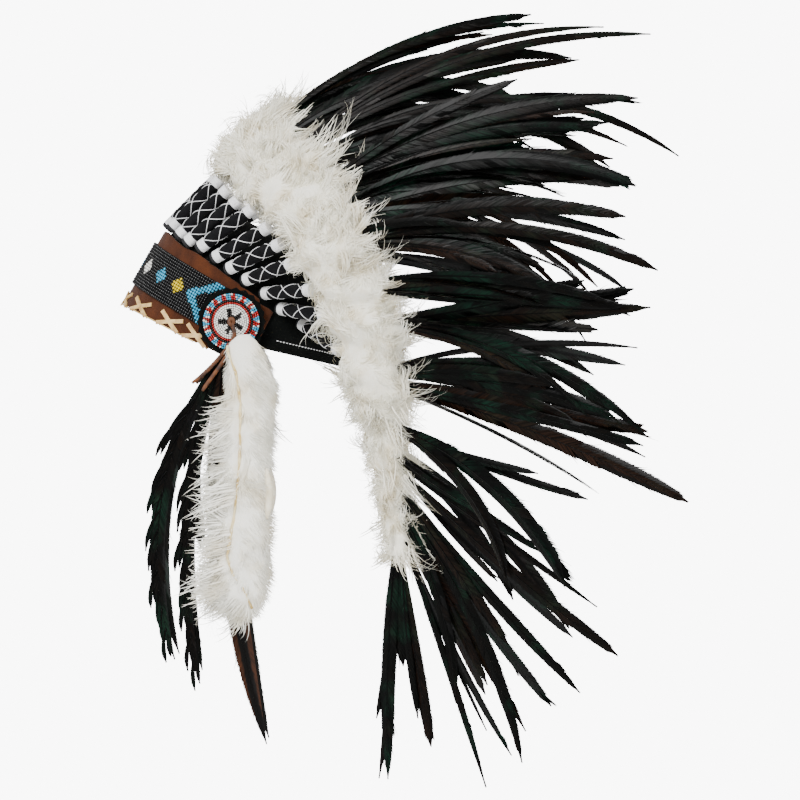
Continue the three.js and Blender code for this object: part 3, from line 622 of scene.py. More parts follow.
def makeCap():
    turns = np.arange(0, 360, 3.0)
    rim = rimHeight(turns)
    fold = np.clip((np.minimum(turns, 360 - turns) - head["bandEnd"]) / 4, 0, 1) * head["hemFold"]
    hemShare = head["hem"] / head["crown"]

    def ring(share, skin, out):
        top = head["crown"] - skin
        height = rim + (top - rim) * share
        spread = np.maximum(domeShare(height / top), 1e-3)
        return roundHead(turns, (feltA - skin) * spread, (feltB - skin) * spread, out, height)

    outer = [ring(0, 0, fold * 0.7), ring(0.008, 0, fold), ring(hemShare * 0.9, 0, fold)]
    outer += [ring(hemShare, 0, fold * 0.7), ring(hemShare * 1.02, 0, 0 * fold)]
    outer += [ring(share, 0, 0 * fold) for share in np.linspace(0.15, 1, 24) ** 0.8]
    inner = [ring(share, head["felt"], 0 * fold) for share in np.linspace(1, 0, 16)]
    points, faces = surface(tipped(np.array(outer + inner + [outer[0]])), True, False)
    place(meshObject("felt_cap", points, faces, materials["capFelt"]), "black_felt", ["crown_cap"])


def hemStitches():
    # a running stitch along the hem
    stitch = {"pitch": 3.1, "length": 1.9, "radius": 0.45, "margin": 8, "lift": 0.25}
    seam = np.linspace(head["bandEnd"] + stitch["margin"], 360 - head["bandEnd"] - stitch["margin"], 200)
    line = tipped(feltPoint(seam, rimHeight(seam) + head["hem"] * 0.82, head["hemFold"] + stitch["lift"]))
    length = arcLength(line)
    stops = np.arange(stitch["pitch"] / 2, length[-1], stitch["pitch"])
    spots = np.stack([np.interp(stops, length, line[:, i]) for i in range(3)], axis=1)
    way = unit(np.gradient(spots, axis=0))
    out = unit(np.cross(way, np.cross(spots - tipped([[0, 0, 40]]), way)))
    rings = [(-0.5, 0.3), (-0.36, 1), (0.36, 1), (0.5, 0.3)]
    turns = np.arange(6) * math.pi / 3
    shape = np.array([[(x, r * math.cos(t), r * math.sin(t)) for t in turns] for x, r in rings])
    copy = meshObject("stitch", *surface(shape / mm), materials["whiteThread"])
    across = unit(np.cross(out, way))
    size = np.tile(np.array([stitch["length"], stitch["radius"], stitch["radius"]]) * mm, (len(spots), 1))
    base = marks(spots, eulers(way, across, unit(np.cross(way, across))), size)
    place(setCopies("hem_stitches", base, copy, "whiteThread", 0.9, 1.1, 4), "black_felt")
    withdraw(copy)


makeCap()
hemStitches()
print("cap done")

# Wrapped quills: turn, height as a share of the crown, lean and flare, from the brow to the nape

quills = [
    (5.2, 0.645, 17.5, 3), (15.9, 0.651, 17.5, 8), (30, 0.624, 19.5, 11), (39.3, 0.608, 23.5, 14),
    (49.1, 0.618, 26.5, 18), (60.2, 0.606, 33.5, 26), (70.1, 0.582, 37.5, 33),
    (80.5, 0.569, 44.5, 42), (92, 0.549, 59, 46), (102.6, 0.506, 72.5, 46),
    (116.2, 0.488, 97.5, 46),
]
wrap = {"length": 65, "radius": 6.1, "gap": 0.3, "capEnd": 3.6, "band": 7.5, "flareEase": 0.82}


def seatOf(quill, side):
    turn, height, lean, flare = quill
    lean, flare = math.radians(lean), math.radians(flare)
    out = wrap["radius"] * math.cos(flare) + 2 * wrap["gap"]
    low = feltPoint(turn, height * head["crown"], out)

    def aim(spread):
        return np.array(
            [math.cos(spread) * math.sin(lean), -math.sin(spread), math.cos(spread) * math.cos(lean)]
        )

    seat = {"low": low, "wrap": aim(flare), "fluff": aim(flare * wrap["flareEase"])}
    for key in seat:
        seat[key] = tipped(seat[key] * np.array([1, -sideSign[side], 1]))
    seat["top"] = seat["low"] + seat["wrap"] * wrap["length"]
    return seat


seats = {side: [seatOf(quill, side) for quill in quills] for side in sides}


def bandTop(turn):
    # height that the brow band may reach under the wrapped quills
    away = np.abs(turn)
    rows = np.array(quills)
    under = rows[:, 1] * head["crown"] - wrap["radius"] * np.sin(np.radians(rows[:, 2])) - wrap["gap"]
    flat = np.interp(away, rows[:, 0], under)
    index = np.clip(np.searchsorted(rows[:, 0], away), 1, len(rows) - 1)
    return np.minimum(flat, np.minimum(under[index - 1] + 2, under[index] + 2))


def makeWraps(side):
    felt, white, tape, thread = [], [], [], []
    for seat in seats[side]:
        way = seat["wrap"]
        aside = unit(np.cross(way, [0.2, 0.3, 0.9]))
        third = np.cross(way, aside)
        turns = np.arange(20) * math.pi / 10

        def sleeve(stops):
            rings = [
                seat["low"] + way * along + radius
                * (aside * np.cos(turns)[:, None] + third * np.sin(turns)[:, None])
                for along, radius in stops
            ]
            return surface(np.array(rings))

        def winding(start, stop):
            # thread wound round and round, with a ridge for each turn
            stops = np.linspace(start, stop, 17)
            ridges = [(s, full * (0.985 if i % 2 else 0.95)) for i, s in enumerate(stops)]
            return sleeve([(start, full * 0.8), *ridges, (stop, full * 0.8)])

        full, end, band = wrap["radius"], wrap["capEnd"], wrap["band"]
        top = wrap["length"]
        tape.append(sleeve([(0.1, full * 0.5), (0.3, full * 0.8), (1.2, full * 0.93), (end, full * 0.95)]))
        white.append(winding(end - 0.1, end + band))
        felt.append(sleeve([
            (end + band - 0.4, full * 0.86), (end + band, full * 0.93), (end + band + 3, full * 0.98),
            (top / 2, full), (top - band - 3, full * 0.98), (top - band, full * 0.93),
        ]))
        white.append(winding(top - band - 0.2, top))
        # the thread crosses itself over the felt
        steps = np.linspace(0, 1, 30)
        stretch = top - 2 * band - end
        for hand in (-1, 1):
            for start in (0, math.pi):
                spin = start + hand * steps * math.pi * 2.1
                along = end + band + steps * stretch
                skin = full * np.interp(steps, [0, 0.1, 0.5, 0.9, 1], [0.95, 0.98, 1.01, 0.98, 0.95])
                line = seat["low"] + way * along[:, None] + (
                    aside * np.cos(spin)[:, None] + third * np.sin(spin)[:, None]
                ) * skin[:, None]
                thread.append(tube(line, np.full(30, 0.42), 4))
    nodes = [f"quill_wrap_{side}_{i + 1:02d}" for i in range(len(quills))]
    place(meshObject(f"quill_felt_{side}", *joined(felt), materials["wrapFelt"]), "charcoal_felt", nodes)
    place(meshObject(f"quill_bands_{side}", *joined(white), materials["whiteThread"]), "charcoal_felt")
    place(meshObject(f"quill_ends_{side}", *joined(tape), materials["darkTape"]), "charcoal_felt")
    place(meshObject(f"quill_thread_{side}", *joined(thread), materials["whiteThread"]), "charcoal_felt")


for side in sides:
    makeWraps(side)
print("quills done")

# Suede brow band, with its lower edge turned under


def makeBrowBand():
    turns = np.linspace(-head["bandEnd"], head["bandEnd"], 130)
    top = bandTop(turns)
    rings = []
    section = ((0, -1.8), (0, -0.4), (0.012, 0), (0.5, 0), (0.985, 0), (1, -0.4), (1, -1.8), (0.5, -2))
    for share, out in section:
        rings.append(tipped(bandPoint(turns, share * top, out)))
    points, faces = surface(np.array(rings).transpose(1, 0, 2))
    place(meshObject("suede_brow_band", points, faces, materials["suede"]), "brown_suede", ["brow_band"])


makeBrowBand()
repaint("edge_lacing", "lace")

# Beadwork: rows of seed beads on the band, rings of them on the rosettes

beads = {
    "pitch": 2.6, "size": 2.5, "bandHeight": 41.5, "lift": 21, "drop": 8, "end": 88,
    "rows": 16, "ringPitch": 1.95, "discRadius": 25.4, "discEdge": 1.8,
    "ringStep": 2.1, "ringSize": (1.95, 1.95, 2.0),
}
beadColors = {
    "black": hexColor("#08080a"), "blue": hexColor("#3fa6cc"), "yellow": hexColor("#dcc21e"),
    "white": hexColor("#f6f4ee"), "red": hexColor("#a8140e"), "dark": hexColor("#0c0606"),
}
motifs = ((0, "blue"), (11, "white"), (21, "blue"), (30, "yellow"))
chevron = {"point": 34, "color": "blue", "thick": 4}


def seedBead():
    turns = np.arange(6) * math.pi / 3
    rings = [(-0.46, 0.34), (0, 0.53), (0.46, 0.34)]
    shape = np.array([[(r * math.cos(t), r * math.sin(t), z) for t in turns] for z, r in rings])
    return meshObject("seedBead", *surface(shape / mm), materials["bead"])


def bandBeadColor(column, row):
    up = row - (beads["rows"] - 1) / 2
    away = abs(column)
    for middle, color in motifs:
        near = abs(away - middle)
        if near + abs(up) <= 2.6 or (near <= 1 and abs(up) <= 2) or (near <= 2 and abs(up) <= 1):
            return beadColors[color]
    reach = away - chevron["point"]
    if reach >= 0 and reach - chevron["thick"] <= abs(up) * 1.15 <= reach:
        return beadColors[chevron["color"]]
    return beadColors["black"]


def makeBandBeads(copy):
    fine = np.linspace(0, beads["end"], 400)
    line = bandPoint(fine, 20, 2)
    length = arcLength(line)
    columns = int(length[-1] / beads["pitch"])
    index = np.arange(-columns, columns + 1)
    turn = np.sign(index) * np.interp(np.abs(index) * beads["pitch"], length, fine)
    rise = beads["bandHeight"] / beads["rows"]
    spots, tints = [], []
    for row in range(beads["rows"]):
        height = beads["lift"] - beads["drop"] * np.abs(turn) / beads["end"] + (row + 0.5) * rise
        spots.append(bandPoint(turn, height, 2.0))
        tints += [bandBeadColor(i, row) for i in index]
    spots = np.concatenate(spots)
    out = unit(spots * np.array([1 / bandA**2, 1 / bandB**2, 0]))
    upright = np.tile([0.0, 0, 1], (len(spots), 1))
    aside = unit(np.cross(upright, out))
    worn = [tipped(axis) for axis in (out, aside, upright)]
    size = np.tile(np.array([beads["size"]] * 3) * mm, (len(spots), 1))
    size[:, 2] *= 0.98
    base = marks(tipped(spots), eulers(*worn), size, tint=tints)
    place(setCopies("band_beads", base, copy, "bead", 0.93, 1.07, 2), "black_beads")
    repaint("bead_band", "beadCloth")


def rosetteColor(radius, angle):
    share = radius / beads["discRadius"]
    if share > 0.8:
        step = (angle - 84.5) % 22.5
        step = min(step, 22.5 - step)
        rim = (share - 0.8) / 0.2
        if step < 6.2 - 4 * rim:
            return beadColors["red"]
        if step > 11.25 - (3.2 + 3 * rim):
            return beadColors["blue"]
        return beadColors["white"]
    if share > 0.68:
        return beadColors["black"]
    if share > 0.585:
        return beadColors["red"]
    for arm in (100, 37, -35, -110, 180):
        off = abs((angle - arm + 180) % 360 - 180)
        if off < 90 and radius < 11.8 and radius * math.sin(math.radians(off)) < 3.6 - radius * 0.2:
            return beadColors["dark"]
    return beadColors["dark"] if radius < 4.2 else beadColors["white"]


def makeRosette(copy, side):
    spots, turns, tints = [], [], []
    rings = int(beads["discRadius"] / beads["ringPitch"])
    for ring in range(rings):
        radius = beads["discRadius"] - 0.9 - ring * beads["ringPitch"]
        count = max(1, round(2 * math.pi * radius / beads["ringStep"]))
        for i in range(count):
            angle = 360 * (i + 0.5 * (ring % 2)) / count
            at = math.radians(angle)
            share = radius / beads["discRadius"]
            out = discIn + layers["crown"] - (layers["crown"] - beads["discEdge"]) * share + 0.25
            spots.append(sidePoint(radius * math.cos(at), radius * math.sin(at), out, side))
            turns.append(at)
            tints.append(rosetteColor(radius, angle))
    at = np.array(turns)
    tangent = np.stack([-np.sin(at), 0 * at, np.cos(at)], axis=1)
    out = np.tile(outward(side), (len(at), 1))
    size = np.tile(np.array(beads["ringSize"]) * mm, (len(at), 1))
    base = marks(spots, eulers(out, unit(np.cross(tangent, out)), tangent), size, tint=tints)
    place(setCopies(f"rosette_seed_beads_{side}", base, copy, "bead", 0.92, 1.08, 3), "blue_beads")
    repaint(f"rosette_beads_{side}", "beadCloth")
    repaint(f"rosette_backing_{side}", "capFelt")


bead = seedBead()
makeBandBeads(bead)
for side in sides:
    makeRosette(bead, side)
withdraw(bead)
print("beads done")

# Feathers: a shaft, a thin vane and rows of barbs along each side of it

feather = {
    "length": 300, "width": 15, "shaft": 1.2, "rootPitch": 4.6, "fluffStart": 0.5,
    "barbPitch": {"left": 1.3, "right": 1.8}, "barbWide": 1.9, "companions": {"left": 3, "right": 1},
    "trailCompanions": {"left": 1, "right": 1}, "rolled": {"left": 1, "right": 1},
}
outlineShares = np.array([0, 0.15, 0.3, 0.5, 0.65, 0.78, 0.88, 0.95, 1])
outlines = {
    "pointed": np.array([0.2, 0.55, 0.85, 0.98, 1, 0.86, 0.58, 0.3, 0.03]),
    "blunt": np.array([0.2, 0.5, 0.75, 0.92, 1, 1, 0.9, 0.68, 0.12]),
}


def halfWidth(share, blunt):
    shape = outlines["pointed"] * (1 - blunt) + outlines["blunt"] * blunt
    return np.interp(share, outlineShares, shape)


# feathers beside a main one: how far their roots, angles and spreads stray, and their sizes
companion = {
    "root": 1.2, "trailRoot": 1.5, "rise": 3.5, "trailRise": 4, "droop": 9, "trailDroop": 7,
    "flare": 2, "spread": 3, "length": (0.5, 0.93), "width": (0.55, 0.95), "topQuills": 3,
}
rolled = {"turn": (50, 95), "rise": (-7, 0.5), "root": 1.5, "flare": 4, "spread": 6, "length": (0.58, 0.8)}
# quill rise droop reach width spread, as the solids have them
crownRows = {
    "left": [
        (0, 0, 48, 0.97, 0.6, 1), (1, 0, 42, 0.93, 0.75, 2), (2, 0, 54, 1.0, 0.9, 3),
        (3, 2, 45, 1.22, 0.6, 0), (4, 4, 78, 1.28, 0.6, 6), (4, -2, 58, 0.92, 0.85, -3),
        (5, 6, 38, 1.09, 1.05, 4), (5, 0, 25, 0.88, 0.8, -5), (5, -4, 34, 0.95, 0.8, 0),
        (6, 11, 62, 1.06, 1.1, 4), (6, -3, 26, 0.91, 0.9, -4), (7, 4, 35, 1.01, 0.9, 5),
        (7, -2, 58, 0.81, 1.0, 0), (7, 0, 45, 1.08, 0.8, -5), (8, -6, 3, 0.93, 0.9, 2),
        (8, 6, 28, 0.9, 0.7, 6), (9, 12, -1, 0.97, 1.3, 2), (9, 10, 44, 1.02, 0.9, -4),
        (10, 36, 22, 0.83, 1.1, 2), (10, 20, 13, 1.14, 1.2, 0), (10, 46, 26, 0.6, 0.7, -4),
    ],
    "right": [
        (0, -4, 32, 0.78, 0.5, 1), (1, -2, 50, 0.86, 0.7, 2), (2, -6, 32, 0.83, 0.6, 3),
        (3, -2, 34, 1.0, 0.7, 0), (4, -1, 36, 0.95, 0.8, 2), (4, 2, 66, 1.1, 0.6, -4),
        (5, 3, 76, 0.82, 0.7, 4), (5, -2, 42, 0.75, 0.7, -4), (5, 2, 30, 1.0, 0.9, 0),
        (6, 5, 45, 1.03, 0.9, 4), (6, -8, 38, 1.0, 0.8, -4), (7, 2, 80, 1.02, 0.8, 4),
        (7, -12, 36, 0.75, 0.8, -5), (7, 4, 60, 1.08, 0.5, 0), (8, -2, 10, 0.86, 0.9, 2),
        (8, 8, 34, 1.0, 0.7, -4), (9, 16, 38, 0.86, 0.9, 3), (9, 6, 8, 0.92, 1.0, -3),
        (10, 50, 28, 0.71, 0.7, 3), (10, 30, 22, 1.02, 0.8, 0), (10, 52, 24, 0.94, 0.5, -5),
    ],
}
sprayQuills = ((0, 1), (2, 3), (4, 5), (6, 7), (8, 9, 10))
# faded feathers that droop below the rest: quill rise droop reach width spread
drooping = ((5, -20, 60, 0.86, 0.5, 0), (5, -16, 62, 0.98, 0.42, 4), (3, -14, 30, 0.8, 0.5, -3))
# spray start from to reach width
trailRows = {
    "left": [
        (1, 0.16, 18, 64, 0.88, 1.4), (1, 0.3, 36, 33, 0.6, 0.6), (1, 0.38, 45, 36, 0.93, 0.8),
        (2, 0.5, 52, 45, 0.87, 0.8), (2, 0.58, 52, 78, 0.92, 0.9), (2, 0.66, 60, 60, 0.79, 0.8),
        (3, 0.77, 70, 73, 0.84, 0.5), (3, 0.84, 96, 88, 0.74, 1.0), (3, 0.9, 82, 80, 0.62, 0.8),
    ],
    "right": [
        (1, 0.18, 24, 16, 0.8, 0.6), (1, 0.28, 34, 58, 0.9, 1.1), (1, 0.38, 48, 41, 0.83, 0.7),
        (2, 0.5, 50, 66, 0.76, 0.6), (2, 0.58, 58, 50, 0.85, 0.8), (2, 0.66, 66, 64, 0.67, 0.7),
        (3, 0.78, 70, 58, 0.82, 0.5), (3, 0.87, 91, 98, 0.76, 0.6),
    ],
}


def heading(angle, spread, side):
    up, out = np.radians(angle), np.radians(spread)
    return np.stack(
        [np.cos(out) * np.cos(up), sideSign[side] * np.sin(out), np.cos(out) * np.sin(up)], axis=-1
    )


def featherLine(start, angles, spreads, length, side):
    share = np.arange(25) / 24
    way = heading(
        angles[0] + (angles[1] - angles[0]) * share, spreads[0] + (spreads[1] - spreads[0]) * share, side
    )
    places = start + np.concatenate([[np.zeros(3)], np.cumsum(way[:-1] * length / 24, axis=0)])
    blunt = 0.5 + 0.5 * math.sin(length * 7.1)
    return {"places": places, "ways": way, "length": length, "blunt": blunt, "side": side}


def along(line, share):
    grid = np.arange(25) / 24
    at = np.stack([np.interp(share, grid, line["places"][:, i]) for i in range(3)], axis=-1)
    way = unit(np.stack([np.interp(share, grid, line["ways"][:, i]) for i in range(3)], axis=-1))
    return at, way


def barbCopy(material):
    # a thin curved strip along +Y, one unit long and wide, narrowing to a point
    points = []
    for y, half in ((0, 0.5), (0.55, 0.46), (1, 0.05)):
        points += [(-half, y, -0.1 * y * y), (half, y, -0.1 * y * y)]
    faces = [(2 * i, 2 * i + 1, 2 * i + 3, 2 * i + 2) for i in range(2)]
    thing = meshObject("barb", np.array(points) / mm, faces, material)
    layer = thing.data.uv_layers.new(name="UVMap")
    for loop in thing.data.loops:
        x, y, _ = points[loop.vertex_index]
        layer.data[loop.index].uv = (x + 0.5, y)
    return thing


def featherMarks(line, width, face, dice, tone):
    # where the barbs of one feather go, each ending on the feather's smooth outline
    full = line["length"]
    count = max(12, int(full * 0.95 / feather["barbPitch"][line["side"]]))
    share = 0.04 + 0.955 * (np.arange(count) + dice.random(count) * 0.4) / count
    at, way = along(line, share)
    across = unit(np.cross(way, face))
    up = unit(np.cross(across, way))
    spots, turns, sizes, tones = [], [], [], []
    for hand in (-1, 1):
        clump = np.repeat(dice.normal(0, 1, count // 9 + 2), 9)[dice.integers(0, 8) :][:count]
        clump = np.resize(clump, count)
        split = np.where(np.abs(clump) > 1.5, clump, 0)
        lean = np.radians(np.interp(share, [0, 0.5, 1], [42, 30, 13]) + 0.8 * clump + 3 * split)
        reach = np.full(count, 10.0)
        for _ in range(5):
            tip = np.minimum(1, share + reach * np.cos(lean) / full)
            reach = halfWidth(tip, line["blunt"]) * width / 2 / np.maximum(np.sin(lean), 0.15)
        reach = np.minimum(reach, (1.01 - share) * full / np.cos(lean))
        reach = np.maximum(reach, 2.5) * (0.98 + 0.06 * dice.random(count))
        stray = dice.random(count) < 0.03
        reach = np.where(stray & (share < 0.9), reach * 1.35, reach)
        sag = np.radians(-5 + 3 * split)
        direct = way * np.cos(lean)[:, None] + across * (hand * np.sin(lean))[:, None]
        direct = unit(direct + up * np.sin(sag)[:, None])
        roll = unit(up + np.cross(direct, up) * dice.normal(0, 0.06, (count, 1)))
        aside = unit(np.cross(direct, roll))
        spots.append(at + up * 0.25)
        turns.append(eulers(aside, direct, unit(np.cross(aside, direct))))
        wide = feather["barbWide"] * np.minimum(1, 0.4 + reach / 14) * np.where(stray, 0.5, 1)
        sizes.append(np.stack([wide, reach, reach], axis=1) * mm)
        tones.append(np.clip(tone + 0.06 * clump, 0, 1))
    return [np.concatenate(parts) for parts in (spots, turns, sizes, tones)]


def shaftAndVane(line, width, face):
    share = np.linspace(0, 1, 17)
    at, way = along(line, share)
    across = unit(np.cross(way, face))
    up = unit(np.cross(across, way))
    shaft = tube(at + up * 0.2, feather["shaft"] * np.interp(share, [0, 1], [0.8, 0.12]), 4)
    half = halfWidth(share, line["blunt"])[:, None] * width / 2 * 0.9
    steps = np.array([-1, -0.5, 0, 0.5, 1])
    grid = np.stack([at + across * half * t - up * (0.3 + half * 0.28 * t * t) for t in steps], axis=1)
    length = np.tile(share * line["length"], (5, 1)).T
    flat = np.stack([np.broadcast_to(half * steps, (17, 5)), length], axis=-1)
    return shaft, surface(grid, False), flat.reshape(-1, 2)


def makeFeathers(name, lines, slot, nodes, seed, look="feather"):
    # lines: (line, width, face, tone) for each feather of a spray
    dice = np.random.default_rng(seed)
    rows = [featherMarks(line, width, face, dice, tone) for line, width, face, tone in lines]
    spots, turns, sizes, tones = [np.concatenate(parts) for parts in zip(*rows)]
    copy = barbCopy(materials[look])
    base = marks(spots, turns, sizes, tone=tones, shade=dice.random(len(spots)))
    place(setCopies(f"{name}_barbs", base, copy, look, 0.97, 1.03, seed), slot, nodes)
    withdraw(copy)
    made = [shaftAndVane(line, width, face) for line, width, face, _ in lines]
    place(meshObject(f"{name}_shafts", *joined([m[0] for m in made]), materials["shaft"]), slot)
    vanes = meshObject(f"{name}_vanes", *joined([m[1] for m in made]), materials[look])
    flat = np.concatenate([m[2] for m in made])
    layer = vanes.data.uv_layers.new(name="UVMap")
    corners = np.zeros(len(vanes.data.loops), np.int32)
    vanes.data.loops.foreach_get("vertex_index", corners)
    layer.data.foreach_set("uv", flat[corners].astype(np.float32).ravel())
    tone = np.concatenate([np.full(len(m[2]), line[3]) for m, line in zip(made, lines)])
    setField(vanes.data, "tone", tone)
    place(vanes, slot)


# The row of quills and the frames of fluff along it

fluff = {"lead": 5, "out": 20, "in": 16, "valley": 0.8, "end": 0.95, "depth": 95}
row = seats["right"][::-1] + seats["left"]


def fluffFrames():
    def between(a, b, share, size):
        top, way = [a[key] + (b[key] - a[key]) * share for key in ("top", "fluff")]
        return {"top": top, "fluff": unit(way), "size": size}

    frames = [between(row[0], row[1], -0.5, fluff["end"])]
    for i, seat in enumerate(row):
        frames.append({"top": seat["top"], "fluff": seat["fluff"], "size": 1})
        if i + 1 < len(row):
            frames.append(between(seat, row[i + 1], 0.5, fluff["valley"]))
    frames.append(between(row[-1], row[-2], -0.5, fluff["end"]))
    middle = [f["top"] + f["fluff"] * fluff["depth"] / 2 for f in frames]
    for i, f in enumerate(frames):
        f["along"] = unit(middle[min(i + 1, len(frames) - 1)] - middle[max(0, i - 1)])
        f["out"] = unit(np.cross(f["along"], f["fluff"]))
        if f["out"][0] > 0:
            f["out"] = -f["out"]
    return frames


frames = fluffFrames()


def quillFrame(side, i):
    return frames[len(frames) - 22 + 2 * i] if side == "left" else frames[21 - 2 * i]


def rootPoint(i, side, across):
    seat = seats[side][i]
    down = quillFrame(side, i)["along"]
    down = -down if down[2] > 0 else down
    return seat["top"] + seat["fluff"] * fluff["depth"] * feather["fluffStart"] + down * across


def fade(dice, most=0.8):
    # how brown a feather is: most stay black
    return dice.random() ** 3 * most


def crownLines(side, held, dice):
    lines = []
    for i in held:
        rows = sorted((r for r in crownRows[side] if r[0] == i), key=lambda r: -r[1])
        _, _, lean, flare = quills[i]
        face = unit(quillFrame(side, i)["out"] + outward(side))
        for k, (_, rise, droop, reach, width, spread) in enumerate(rows):
            start = rootPoint(i, side, (k - (len(rows) - 1) / 2) * feather["rootPitch"])
            base = 90 - head["tilt"] - lean + rise
            ease = flare * wrap["flareEase"]
            tone = fade(dice)
            full = feather["length"] * reach
            line = featherLine(start, (base, base - droop), (ease, flare / 2 + spread), full, side)
            lines.append((line, feather["width"] * width, face, tone))
            for _ in range(feather["companions"][side]):
                onTop = i < companion["topQuills"]  # nothing may stand above the front of the fan
                shift = min(dice.normal(0, companion["rise"]), 1.0 if onTop else 9.0)
                fall = max(droop + dice.normal(0, companion["droop"]), droop if onTop else -20)
                size = dice.uniform(*companion["length"])
                line = featherLine(
                    start + dice.normal(0, companion["root"], 3), (base + shift, base + shift - fall),
                    (
                        ease + dice.normal(0, companion["flare"]),
                        flare / 2 + spread + dice.normal(0, companion["spread"]),
                    ),
                    full * size, side,
                )
                wide = feather["width"] * width * dice.uniform(*companion["width"])
                lines.append((line, wide, face, fade(dice)))
            for _ in range(feather["rolled"][side]):
                shift = rollDice.uniform(*rolled["rise"])
                line = featherLine(
                    start + rollDice.normal(0, rolled["root"], 3), (base + shift, base + shift - droop),
                    (
                        ease + rollDice.normal(0, rolled["flare"]),
                        flare / 2 + spread + rollDice.normal(0, rolled["spread"]),
                    ),
                    full * rollDice.uniform(*rolled["length"]), side,
                )
                roll = math.radians(rollDice.uniform(*rolled["turn"]))
                turned = unit(face * math.cos(roll) + np.cross(line["ways"][6], face) * math.sin(roll))
                wide = feather["width"] * max(width, 0.7) * 0.95
                lines.append((line, wide, turned, fade(rollDice)))
        for _, rise, droop, reach, width, spread in (r for r in drooping if r[0] == i):
            base = 90 - head["tilt"] - lean + rise
            spreads = (flare * wrap["flareEase"], flare / 2 + spread)
            full = feather["length"] * reach
            line = featherLine(rootPoint(i, side, 0), (base, base - droop), spreads, full, side)
            lines.append((line, feather["width"] * width, face, 0.95))
    return lines


dice = np.random.default_rng(11)
rollDice = np.random.default_rng(31)  # feathers rolled on their shafts, flat side to the front
for side in sides:
    for number, held in enumerate(sprayQuills):
        lines = crownLines(side, held, dice)
        name = f"crown_feathers_{side}_{number + 1}"
        node = f"crown_spray_{side}_{number + 1}"
        makeFeathers(name, lines, "black_feather", [node], 20 + number)
print("crown feathers done")

# Trails of fluff with their feathers

trail = {"length": 140, "slot": 0.1}
trailSections = np.array([
    (0, 0, 0.72, 0.9, 35, 38), (0.21, 0.05, 0.42, 0.8, 24, 32), (0.38, 0.084, 0.34, 0.72, 16, 28),
    (0.58, 0.107, 0.29, 0.62, 11, 24), (0.75, 0.129, 0.25, 0.52, 7, 22),
    (0.89, 0.14, 0.19, 0.44, 4, 20), (1, 0.146, 0.12, 0.34, 2, 20),
])


def ringEnd(side):
    end, near = (frames[-1], frames[-2]) if side == "left" else (frames[0], frames[1])
    past = unit(np.cross(end["fluff"], end["out"]))
    if past @ (end["top"] - near["top"]) < 0:
        past = -past
    middle = end["top"] + end["fluff"] * fluff["depth"] * end["size"] / 2 + past * 0.6
    return middle, end["fluff"], end["out"]


def trailFrame(side, share):
    middle, across0, out0 = ringEnd(side)
    back, width, thick, dip, flare = columnsAt(trailSections, share)
    across = heading(-dip, flare, side)
    out = unit(np.cross([0, 0, -1], across))
    if out[1] * sideSign[side] < 0:
        out = -out
    settled = min(1, share / trailSections[2, 0])
    return {
        "place": middle + np.array([trail["length"] * back, 0, -trail["length"] * share]),
        "across": unit(across0 + (across - across0) * settled),
        "out": unit(out0 + (out - out0) * settled),
        "width": fluff["depth"] * width,
        "thick": thick,
    }


def trailLines(side, number, dice):
    lines = []
    for spray, start, first, last, reach, width in trailRows[side]:
        if spray != number:
            continue
        f = trailFrame(side, start)
        root = f["place"] + f["across"] * (-trail["slot"] * f["width"] + 2.1)
        way = heading(-first, 0, side)
        spread = math.degrees(math.atan2(-f["out"] @ way, f["out"][1] * sideSign[side]))
        full = feather["length"] * reach
        line = featherLine(root, (-first, -last), (spread, spread / 2), full, side)
        wide = feather["width"] * width
        lines.append((line, wide, f["out"], fade(dice)))
        for _ in range(feather["trailCompanions"][side]):
            shift = dice.normal(0, companion["trailRise"])
            line = featherLine(
                root + dice.normal(0, companion["trailRoot"], 3),
                (-first + shift, -last + shift + dice.normal(0, companion["trailDroop"])),
                (
                    spread + dice.normal(0, companion["flare"]),
                    spread / 2 + dice.normal(0, companion["spread"]),
                ),
                full * dice.uniform(*companion["length"]), side,
            )
            lines.append((line, wide * dice.uniform(*companion["width"]), f["out"], fade(dice, 1)))
    return lines


for side in sides:
    for number in (1, 2, 3):
        lines = trailLines(side, number, dice)
        name, node = f"trail_feathers_{side}_{number}", f"trail_spray_{side}_{number}"
        makeFeathers(name, lines, "black_feather", [node], 40 + number)
print("trail feathers done")


# Fluff: a lumpy skin under a coat of fine down, with longer wisps that curl off it


def strandCopy(name, segments, wide, curl, count=1, spread=0.0):
    # a tuft of thin strips one unit long that start along +Z, curl towards +Y and end in points
    dice = np.random.default_rng(count)
    points, faces = [], []
    steps = np.arange(segments + 1) / segments
    for i in range(count):
        size = 1.0 if count == 1 else dice.uniform(0.55, 1.0)
        turn = curl * (1 if count == 1 else dice.uniform(0.4, 1.5)) * steps**1.5
        x = dice.normal(0, spread) * (1 - 0.5 * steps) + dice.normal(0, spread) * steps**2
        y = dice.normal(0, spread) + np.concatenate([[0], np.cumsum(np.sin(turn[1:]))]) / segments * size
        z = np.concatenate([[0], np.cumsum(np.cos(turn[1:]))]) / segments * size
        half = wide / 2 * (1 - steps) ** 0.5
        start = len(points)
        points += [(x[k] + hand * half[k], y[k], z[k]) for k in range(segments) for hand in (-1, 1)]
        points.append((x[-1], y[-1], z[-1]))
        for k in range(start, start + 2 * segments - 2, 2):
            faces.append((k, k + 1, k + 3, k + 2))
        end = start + 2 * segments
        faces.append((end - 2, end - 1, end))
    mesh = bpy.data.meshes.new(name)
    mesh.from_pydata(points, [], faces)
    mesh.update()
    return linked(name, mesh)


def lumpy(points, size, depth, center):
    # pushes the points in and out by smooth noise
    push = [noise.noise(Vector(p / size)) + 0.5 * noise.noise(Vector(p / size * 2.3)) for p in points]
    return points + unit(points - center) * (np.array(push) * depth)[:, None]


